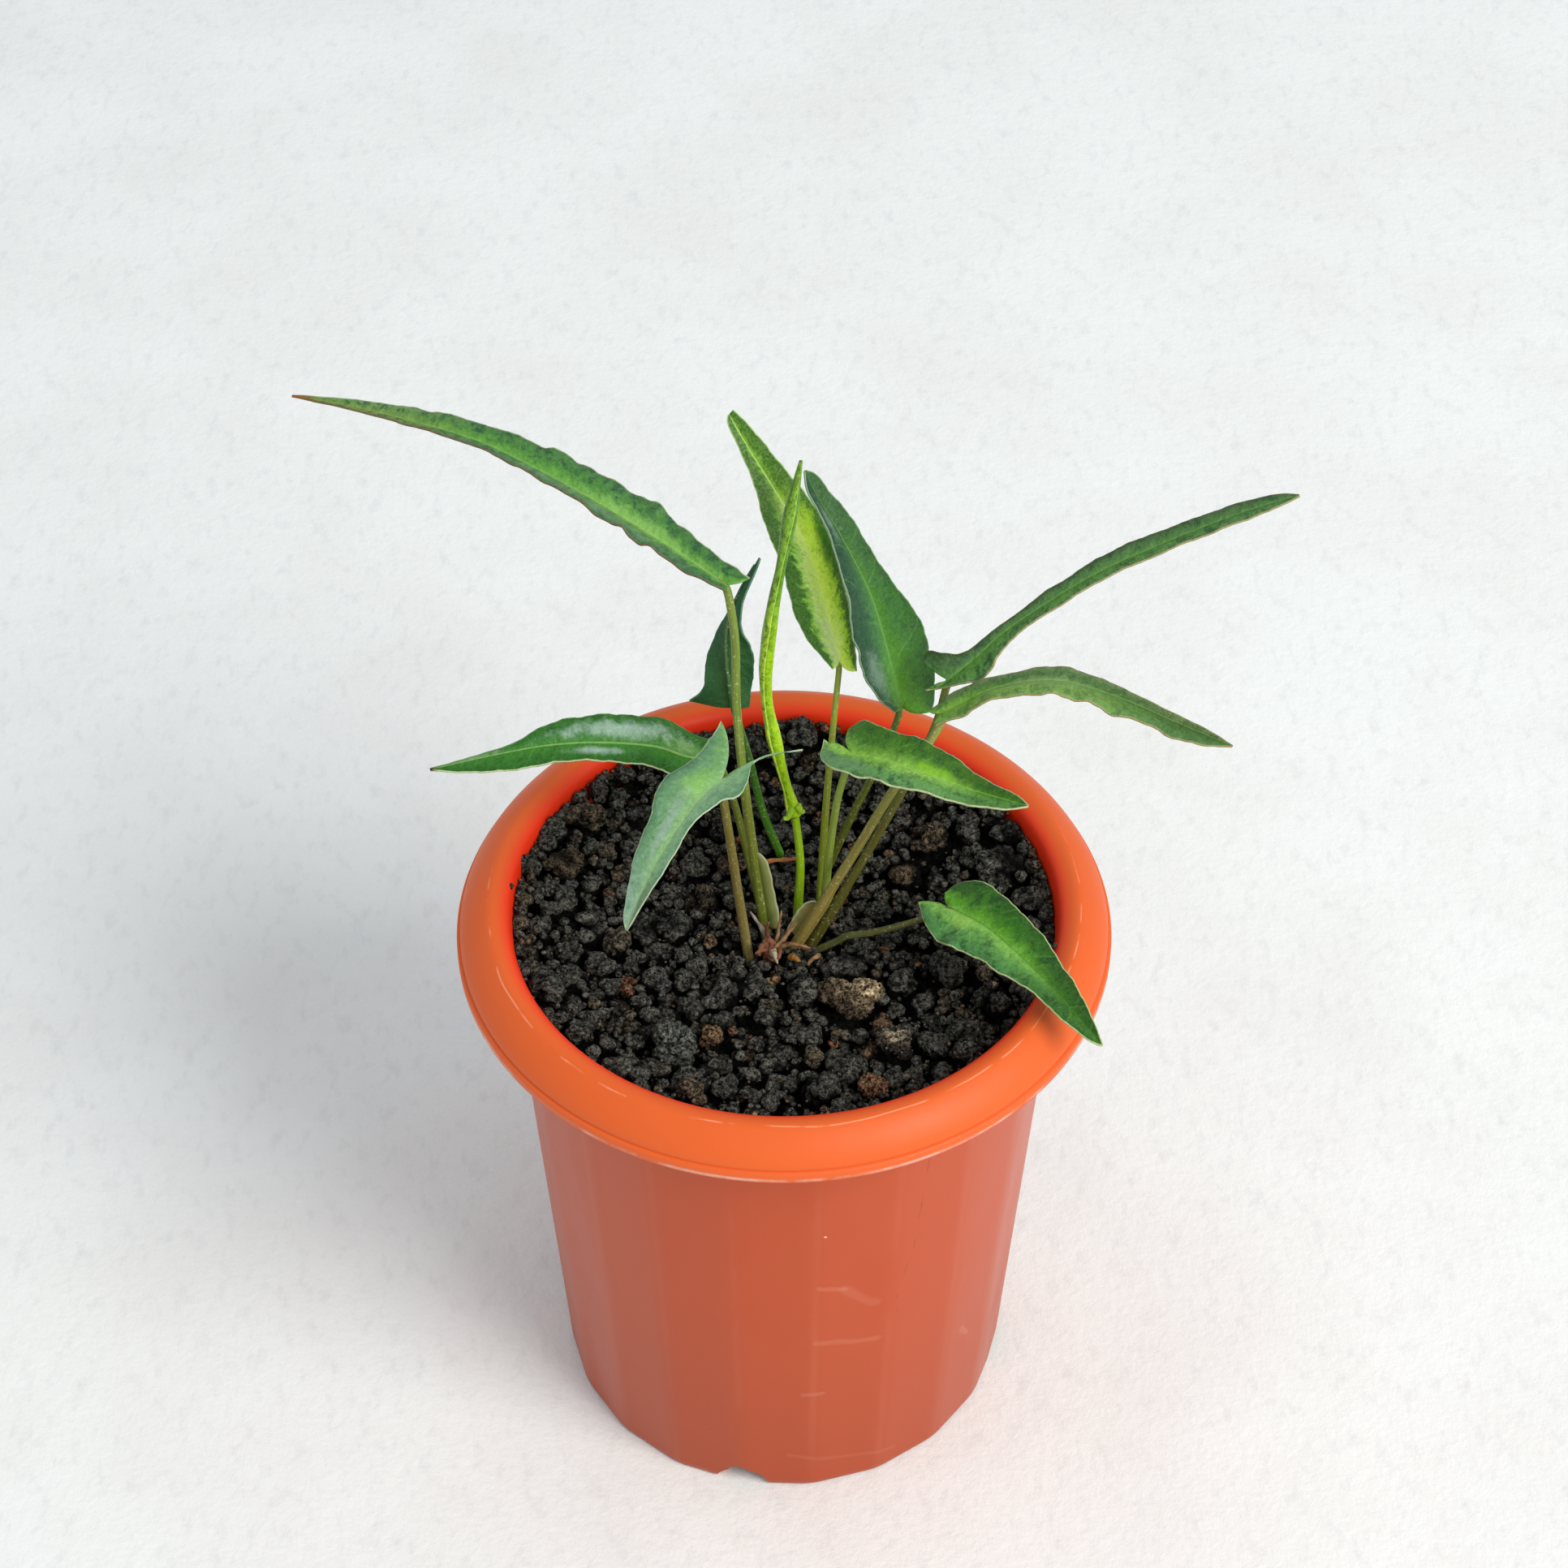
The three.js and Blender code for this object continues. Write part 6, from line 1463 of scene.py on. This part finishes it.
def stalk(name, leaf, rib, material):
    """Petiole and midrib as one tapering stem, with the sheath's wing at its foot."""
    ground_point, following = np.array(leaf["petiole"][0], float), np.array(leaf["petiole"][1], float)
    away = unit(np.array(leaf["foot"], float)) if "foot" in leaf else unit(ground_point - following)
    stem = Path([ground_point + away * BURIED, *leaf["petiole"], leaf["midrib"][0]])
    low, high = leaf["thick"]
    run = np.arange(0, stem.length, 0.8)
    rise = np.arange(0.4, rib.length * 0.96, 0.8)
    centres = np.vstack([stem.point(run), rib.point(rise)])
    u = smoothstep(run / stem.length, 0, 1)
    rib_radius = high * 0.9 + (RIB_TIP - high * 0.9) * np.sqrt(rise / rib.length)
    radius = np.concatenate([low + (high - low) * u, rib_radius])
    # The midrib lies under the blade
    along = rib.tangent(rise)
    sunk = (radius[len(run):] + 0.3)[:, None] * np.minimum(rise / 3, 1)[:, None]
    centres[len(run):] -= rolled_up(leaf, along, rise / rib.length) * sunk
    # The bend between petiole and midrib is rounded
    for _ in range(10):
        near = np.abs(np.arange(len(centres)) - len(run)) < 7
        mean = (centres[:-2] + centres[2:]) / 2
        centres[1:-1] = np.where(near[1:-1, None], 0.5 * centres[1:-1] + 0.5 * mean, centres[1:-1])
    sides = 14
    wing = np.zeros((len(centres), sides))
    if "sheath" in leaf:
        facing, tall = leaf["sheath"]
        turn = 2 * np.pi * np.arange(sides) / sides
        near = np.maximum(np.cos(turn - math.radians(facing)), 0) ** 2
        height = run - BURIED
        wing[: len(run)] = SHEATH_WING * near * (1 - smoothstep(height, tall * 0.6, tall))[:, None]
    points, faces, wrap = tube(centres, radius[:, None] + wing, sides)
    piece = make_piece(name, points, faces, [material], [leaf["node"]])
    add_map(piece.data, "wrap", wrap)


def sheath(name, leaf, material):
    """Thin curled wing along one side of a petiole's foot."""
    facing, wide, tall = leaf["wing"]
    stem = Path([*leaf["petiole"], leaf["midrib"][0]])
    rows, columns = 44, 10
    t, share = np.linspace(0, 1, rows)[:, None], np.linspace(0, 1, columns)[None]
    height = np.clip(tall * t[:, 0], 0, stem.length)
    along = stem.tangent(height)
    turn = math.radians(facing)
    out = np.array([math.cos(turn), math.sin(turn), 0])
    out = unit(out - along * (along @ out)[:, None])
    aside = np.cross(along, out)
    seed = leaf["look"]["seed"]
    reach = wide * (1 - (2 * t - 1).clip(0, 1) ** 3) ** 0.5
    reach = reach * (1 + 0.06 * np.sin(6 * t + seed)) * (1 + 0.02 * np.sin(29 * t + seed))
    away = 0.3 + reach * share
    curl = 0.4 * reach * np.sin(np.pi * share * 0.8) + 0.08 * share * np.sin(11 * t + seed)
    grid = stem.point(height)[:, None] + out[:, None] * away[..., None] - aside[:, None] * curl[..., None]
    faces = grid_faces(rows, columns)
    piece = make_piece(name, grid.reshape(-1, 3), faces, [material], [leaf["node"]])
    add_map(piece.data, "wrap", np.stack([share + 0 * t, t * tall / 4 + 0 * share], -1).reshape(-1, 2))
    thicken(piece, SHEATH_THICKNESS)


class PLANT_OT_leaves(bpy.types.Operator):
    """Grow the ten open leaves, each with its petiole."""

    bl_idname = "plant.leaves"
    bl_label = "Open Leaves"

    def execute(self, context):
        settings = context.scene.plant_leaf
        slots = {entry["node"]: entry["material_slot"] for entry in frame["record"]["subparts"]}
        for node, leaf in LEAVES.items():
            leaf["node"], leaf["slot"] = node, slots[node]
            short = node.removeprefix("leaf_")
            upper = leaf_lamina(f"leaf_lamina_{short}", leaf["look"])
            lower = leaf_lamina(f"leaf_underside_{short}", leaf["look"], underside=True)
            rib = blade(f"blade_{short}", leaf, settings, [upper, lower])
            stalk(f"petiole_{short}", leaf, rib, leaf_stalk(f"leaf_stalk_{short}", *leaf["stalk"]))
            if "wing" in leaf:
                sheath(f"sheath_{short}", leaf, papery_sheath(f"papery_sheath_{short}", leaf["stalk"][0]))
        return {"FINISHED"}


YOUNG = dict(
    petiole=[[3.4, 8.8, 149], [4, 10, 165.3], [2.8, 12, 179.5]],
    foot=[3.2, 8.2, 140],
    midrib=[[2.7, 12.1, 180.6], [-1.6, 14, 200.6], [-4.2, 17, 217.9], [-3.1, 20, 236.2], [0, 25, 254.7],
            [3.9, 31, 277.3]],
    core=[1.9, 12.4, 184],
    girth=[[0, 1.45], [0.03, 1.4], [0.07, 1.05], [0.11, 0.95], [0.17, 1.15], [0.22, 1.5], [0.27, 1.5],
           [0.33, 1.15], [0.4, 1.25], [0.48, 1.5], [0.56, 1.5], [0.65, 1.2], [0.74, 1.0], [0.85, 1.55],
           [0.94, 0.8], [1, 0.2]],
    turns=[-0.45, 1],
    hooks=[[[2.2, 11.4, 183.6], [1.0, 10.4, 181.4], [-0.1, 9.8, 181.6]],
           [[3.2, 11.4, 184.6], [4.2, 10.8, 183], [4.9, 10.6, 183.4]]],
    look=dict(
        seed=11.0,
        bands=[(-1, "#4A760A"), (-0.4, "#8CBE10"), (0.2, "#B2D822"), (0.6, "#68960E"), (1, "#B4D640")],
        tip_bands=[(-1, "#386A1A"), (0, "#5C9222"), (0.5, "#3C701A"), (1, "#84B03C")], change=(0.5, 0.72),
        mottle=0.9, mottle_from=0.47, dark="#3A620A", stretch=0.25, ragged=0.9, glow=0.3, rib="#A8D050",
        margin=("#A4C050", "#B4D058"), veins=0.1, vein="#A8CC40", gloss=0.24, under="#6E9C22",
    ),
    stalk=("#8AB80A", "#9AC020", "#7AA018", 0.38),
)


class PLANT_OT_young_leaf(bpy.types.Operator):
    """Grow the young leaf, still rolled round itself."""

    bl_idname = "plant.young_leaf"
    bl_label = "Rolled Young Leaf"

    def execute(self, context):
        settings = context.scene.plant_leaf
        upper = leaf_lamina("young_lamina", YOUNG["look"])
        lower = leaf_lamina("young_underside", dict(YOUNG["look"], seed=12.0))
        rib = Path(YOUNG["midrib"])
        girth = Path(YOUNG["girth"], straight_ends=False)
        rows, columns = 130, 38
        u = np.linspace(0, 1, rows)
        centres = rib.point(u * rib.length)
        first, second = carried_frames(centres, np.array([0, 1.0, 0]))
        swell = np.interp(u, girth.raw[:, 0], girth.raw[:, 1])
        turn = np.linspace(*YOUNG["turns"], columns) * 2 * np.pi
        step = 1 + 0.26 * (turn / (2 * np.pi) - 0.5)
        twist = (2.3 + 1.5 * u)[:, None]
        ripple = 1 + 0.05 * np.sin(u * 60)[:, None] * (turn / (2 * np.pi))[None] ** 2
        radius = swell[:, None] * step[None] * ripple
        bend = turn[None] + twist
        points = centres[:, None] + first[:, None] * (np.cos(bend) * radius)[..., None]
        points = points + second[:, None] * (np.sin(bend) * radius)[..., None]
        faces = grid_faces(rows, columns)
        node, slot = "leaf_rolled_young", "young_leaf"
        piece = make_piece("blade_rolled_young", points.reshape(-1, 3), faces, [upper, lower], [node])
        share, run = np.meshgrid(np.linspace(-1, 1, columns), u, indexing="xy")
        add_map(piece.data, "place", np.stack([share, run], -1).reshape(-1, 2))
        add_map(piece.data, "flat", np.stack([share * 0.1, run * rib.length / 100], -1).reshape(-1, 2))
        add_map(piece.data, "edge", np.stack([(1 - np.abs(share)) * 0.14, run], -1).reshape(-1, 2))
        thicken(piece, settings.thickness, back=1)
        material = leaf_stalk("leaf_stalk_young", *YOUNG["stalk"])
        way_up = Path([YOUNG["foot"], *YOUNG["petiole"], YOUNG["midrib"][0], YOUNG["core"]])
        run = np.arange(0, way_up.length, 0.6)
        radius = 1.2 + (0.95 - 1.2) * smoothstep(run / way_up.length, 0, 1)
        parts = [tube(way_up.point(run), radius, 20)]
        for hook in YOUNG["hooks"]:
            path = Path(hook)
            way = np.linspace(0, path.length, 24)
            parts.append(tube(path.point(way), 0.95 - 0.5 * (way / path.length) ** 2, 12))
        points, faces, wrap = joined(parts)
        stem = make_piece("petiole_rolled_young", points, faces, [material], [node])
        add_map(stem.data, "wrap", wrap)
        return {"FINISHED"}


# ---------------------------------------------------------------- crown

KNOB_MIDDLE = (-2.8, -4.6, 150.2)
KNOB_RADII = (3.0, 2.8, 4.3)
# Dry finishes: name, colour and the other colour that it is split with
DRY = [
    ("dry_root_red", "#5C3222", "#86583E"), ("dry_root_brown", "#6A4C30", "#9A7850"),
    ("dry_twig_orange", "#8A5230", "#B07848"), ("dry_twig_grey", "#6A6055", "#9A9284"),
    ("dry_scale_pale", "#B8AC94", "#8A7A62"), ("dry_scale_ochre", "#A0702C", "#6E4A20"),
]
# Strands and scraps: points, radius at the start (before THICKER) and the end, and which dry finish
THICKER = 1.35
STRANDS = [
    ([[-2.8, -4.4, 149.8], [-4.6, -1.8, 153], [-7, 0.9, 155.5], [-8.2, 2.6, 156.4]], 0.7, 0.25, 3),
    ([[-2.8, -4.4, 149.8], [-1, -7, 152.6], [-1.4, -10.2, 153.4]], 0.75, 0.3, 0),
    ([[-2.8, -4.4, 149.8], [0.6, -5.6, 153], [3.6, -6.8, 154], [6.4, -6.6, 152.6]], 0.55, 0.25, 1),
    ([[-2.8, -4.4, 149.8], [-4.6, -6.8, 152.8], [-7.2, -8.6, 153.4]], 0.7, 0.3, 0),
    ([[-2.8, -4.4, 149.8], [-1.4, -2, 153.4], [-0.6, 1.8, 157.6]], 0.5, 0.2, 1),
    ([[-2.2, -5.6, 151.4], [0.4, -3.4, 153.4], [3, -0.8, 155]], 0.45, 0.25, 1),
    ([[8.6, -6.9, 150.6], [7.4, -8.4, 151.6], [6, -10.3, 151.2]], 0.5, 0.35, 1),
    ([[-2.6, -6.4, 151.4], [-2.0, -8.6, 152.8], [-1.4, -10.4, 151.6]], 0.95, 0.2, 4),
    ([[-4.4, -4.4, 151], [-5.6, -6.2, 153.6], [-6.2, -8.8, 152.8]], 0.8, 0.35, 0),
    ([[-0.8, -3.6, 151], [1.2, -2.2, 155], [2.2, -1.6, 157.6]], 0.5, 0.22, 1),
    ([[-3.4, -3.2, 151], [-4.2, -2.4, 155], [-3.6, -2.2, 157.8]], 0.55, 0.25, 0),
    ([[1.6, -7.2, 150.6], [2.6, -8.4, 151.6], [3.4, -9.2, 151]], 0.7, 0.55, 5),
    ([[-0.6, -4.6, 151.8], [1.4, -5.2, 153.2], [3.8, -5.6, 152.6], [6.6, -6, 151.6]], 0.4, 0.18, 0),
]
# A dry twig that lies on the grit behind the stems
BACK_TWIG = [[-4.4, 24.0, 151.6], [-2.2, 24.3, 151.9], [0.4, 24.5, 151.8], [3.0, 24.7, 152.0]]


class PLANT_OT_crown(bpy.types.Operator):
    """Add the old roots, leaf bases and dry scraps at the crown."""

    bl_idname = "plant.crown"
    bl_label = "Crown and Old Roots"

    def execute(self, context):
        materials = [dry_fibre(*finish) for finish in DRY]
        rng = np.random.default_rng(7)
        directions, faces = ball(5)
        radius = lump_radius(directions, rng, knobs=20, core=0.6, flats=2)
        knob = directions * radius[:, None] * KNOB_RADII + KNOB_MIDDLE
        parts, kinds = [(knob, faces.tolist(), np.zeros((len(knob), 1)))], [0] * len(faces)
        for points, start, end, kind in STRANDS:
            path = Path(points)
            way = np.linspace(0, path.length, 30)
            centres = path.point(way) + rng.normal(size=(30, 3)).cumsum(0) * 0.03
            start = THICKER * start
            thick = start + (end - start) * way / path.length + 0.06 * np.sin(way * 2.2)
            p, f, _ = tube(centres, thick, 10)
            parts.append((p, f, np.zeros((len(p), 1))))
            kinds += [kind] * len(f)
        points, all_faces, _ = joined(parts)
        make_piece("old_root_knob", points, all_faces, materials, ["old_roots"], kinds)
        path = Path(BACK_TWIG)
        way = np.linspace(0, path.length, 30)
        thick = 0.62 + 0.08 * np.sin(way * 1.7) - 0.12 * way / path.length
        points, all_faces, _ = tube(path.point(way), thick, 12)
        make_piece("back_twig", points, all_faces, [materials[2]], ["soil"])
        return {"FINISHED"}


# ---------------------------------------------------------------- studio

# Metres: half the side of the floor, then the large soft light's place, what it faces, and its width
FLOOR_HALF = 4
KEY_PLACE, KEY_TARGET, KEY_SIZE = (1.62, -1.42, 2.0), (0, 0, 0.1), 1.6
# The camera fitted to the photograph: its long lens in pixels of the frame, its place, and its tilt up from
# straight down in degrees
IMAGE_PIXELS, FOCAL_PIXELS, SENSOR_MM = 1932, 5000, 36
CAMERA_PLACE, CAMERA_TILT = (0, -0.67940, 0.88508), 44.9


class StudioSettings(bpy.types.PropertyGroup):
    """Floor and light."""

    floor_colour: FloatVectorProperty(
        name="Floor Colour", description="Colour of the floor", subtype="COLOR_GAMMA",
        default=(0.932, 0.958, 0.960), min=0, max=1,
    )
    key_power: FloatProperty(
        name="Key Power", description="Power of the large soft light", default=66.0, unit="POWER"
    )
    sky: FloatProperty(name="Sky", description="Brightness of the white surroundings", default=0.65, min=0)


class PLANT_OT_studio(bpy.types.Operator):
    """Set the pale floor, the soft light and the camera."""

    bl_idname = "plant.studio"
    bl_label = "Studio"

    def execute(self, context):
        settings = context.scene.plant_studio
        scene = context.scene
        mesh = bpy.data.meshes.new("floor")
        corners = [(x * FLOOR_HALF, y * FLOOR_HALF, 0) for x, y in ((-1, -1), (1, -1), (1, 1), (-1, 1))]
        mesh.from_pydata(corners, [], [(0, 1, 2, 3)])
        mesh.materials.append(lime_plaster(hex_of(settings.floor_colour)))
        floor = put_in_scene("studio_floor", mesh)
        world = bpy.data.worlds.new("studio_white")
        world.use_nodes = True
        background = next(n for n in world.node_tree.nodes if n.type == "BACKGROUND")
        background.inputs[0].default_value = linear("#FBFDFF")
        background.inputs[1].default_value = settings.sky
        scene.world = world
        light = bpy.data.lights.new("key", "AREA")
        light.shape, light.size, light.energy = "DISK", KEY_SIZE, settings.key_power
        light.color = linear("#FFF8F0")[:3]
        key = put_in_scene("key", light)
        key.location = Vector(KEY_PLACE)
        key.rotation_euler = (Vector(KEY_TARGET) - key.location).to_track_quat("-Z", "Y").to_euler()
        lens = bpy.data.cameras.new("camera")
        lens.sensor_width, lens.lens = SENSOR_MM, FOCAL_PIXELS / IMAGE_PIXELS * SENSOR_MM
        lens.clip_start, lens.clip_end = 0.05, 20
        camera = put_in_scene("camera", lens)
        camera.location = CAMERA_PLACE
        camera.rotation_euler = (math.radians(CAMERA_TILT), 0, 0)
        scene.camera = camera
        scene.view_settings.view_transform = "Standard"
        return {"FINISHED"}


# ---------------------------------------------------------------- panel and running


class PLANT_PT_panel(bpy.types.Panel):
    """Every piece that can be built, with its settings."""

    bl_label = "Ribbon Syngonium"
    bl_idname = "PLANT_PT_panel"
    bl_space_type = "VIEW_3D"
    bl_region_type = "UI"
    bl_category = "Plant"

    def draw(self, context):
        layout = self.layout
        for operator, settings in STEPS:
            box = layout.box()
            box.operator(operator)
            group = getattr(context.scene, settings, None) if settings else None
            if group:
                for name in group.bl_rna.properties.keys():
                    if name not in ("rna_type", "name"):
                        box.prop(group, name)


STEPS = (
    ("plant.studio", "plant_studio"),
    ("plant.pot", "plant_pot"),
    ("plant.grit", "plant_grit"),
    ("plant.stones", None),
    ("plant.leaves", "plant_leaf"),
    ("plant.young_leaf", None),
    ("plant.crown", None),
)
GROUPS = {
    "plant_pot": PotSettings,
    "plant_grit": GritSettings,
    "plant_leaf": LeafSettings,
    "plant_studio": StudioSettings,
}
CLASSES = (
    *GROUPS.values(),
    PLANT_OT_pot,
    PLANT_OT_grit,
    PLANT_OT_stones,
    PLANT_OT_leaves,
    PLANT_OT_young_leaf,
    PLANT_OT_crown,
    PLANT_OT_studio,
    PLANT_PT_panel,
)


def register():
    """Register the classes and give each scene its settings."""
    for cls in CLASSES:
        bpy.utils.register_class(cls)
    for name, group in GROUPS.items():
        setattr(bpy.types.Scene, name, PointerProperty(type=group))


def unregister():
    """Take the settings and classes away again."""
    for name in GROUPS:
        delattr(bpy.types.Scene, name)
    for cls in reversed(CLASSES):
        bpy.utils.unregister_class(cls)


def main():
    """Build everything in order."""
    register()
    for operator, _ in STEPS:
        group, name = operator.split(".")
        getattr(getattr(bpy.ops, group), name)()


if __name__ == "__main__":
    main()
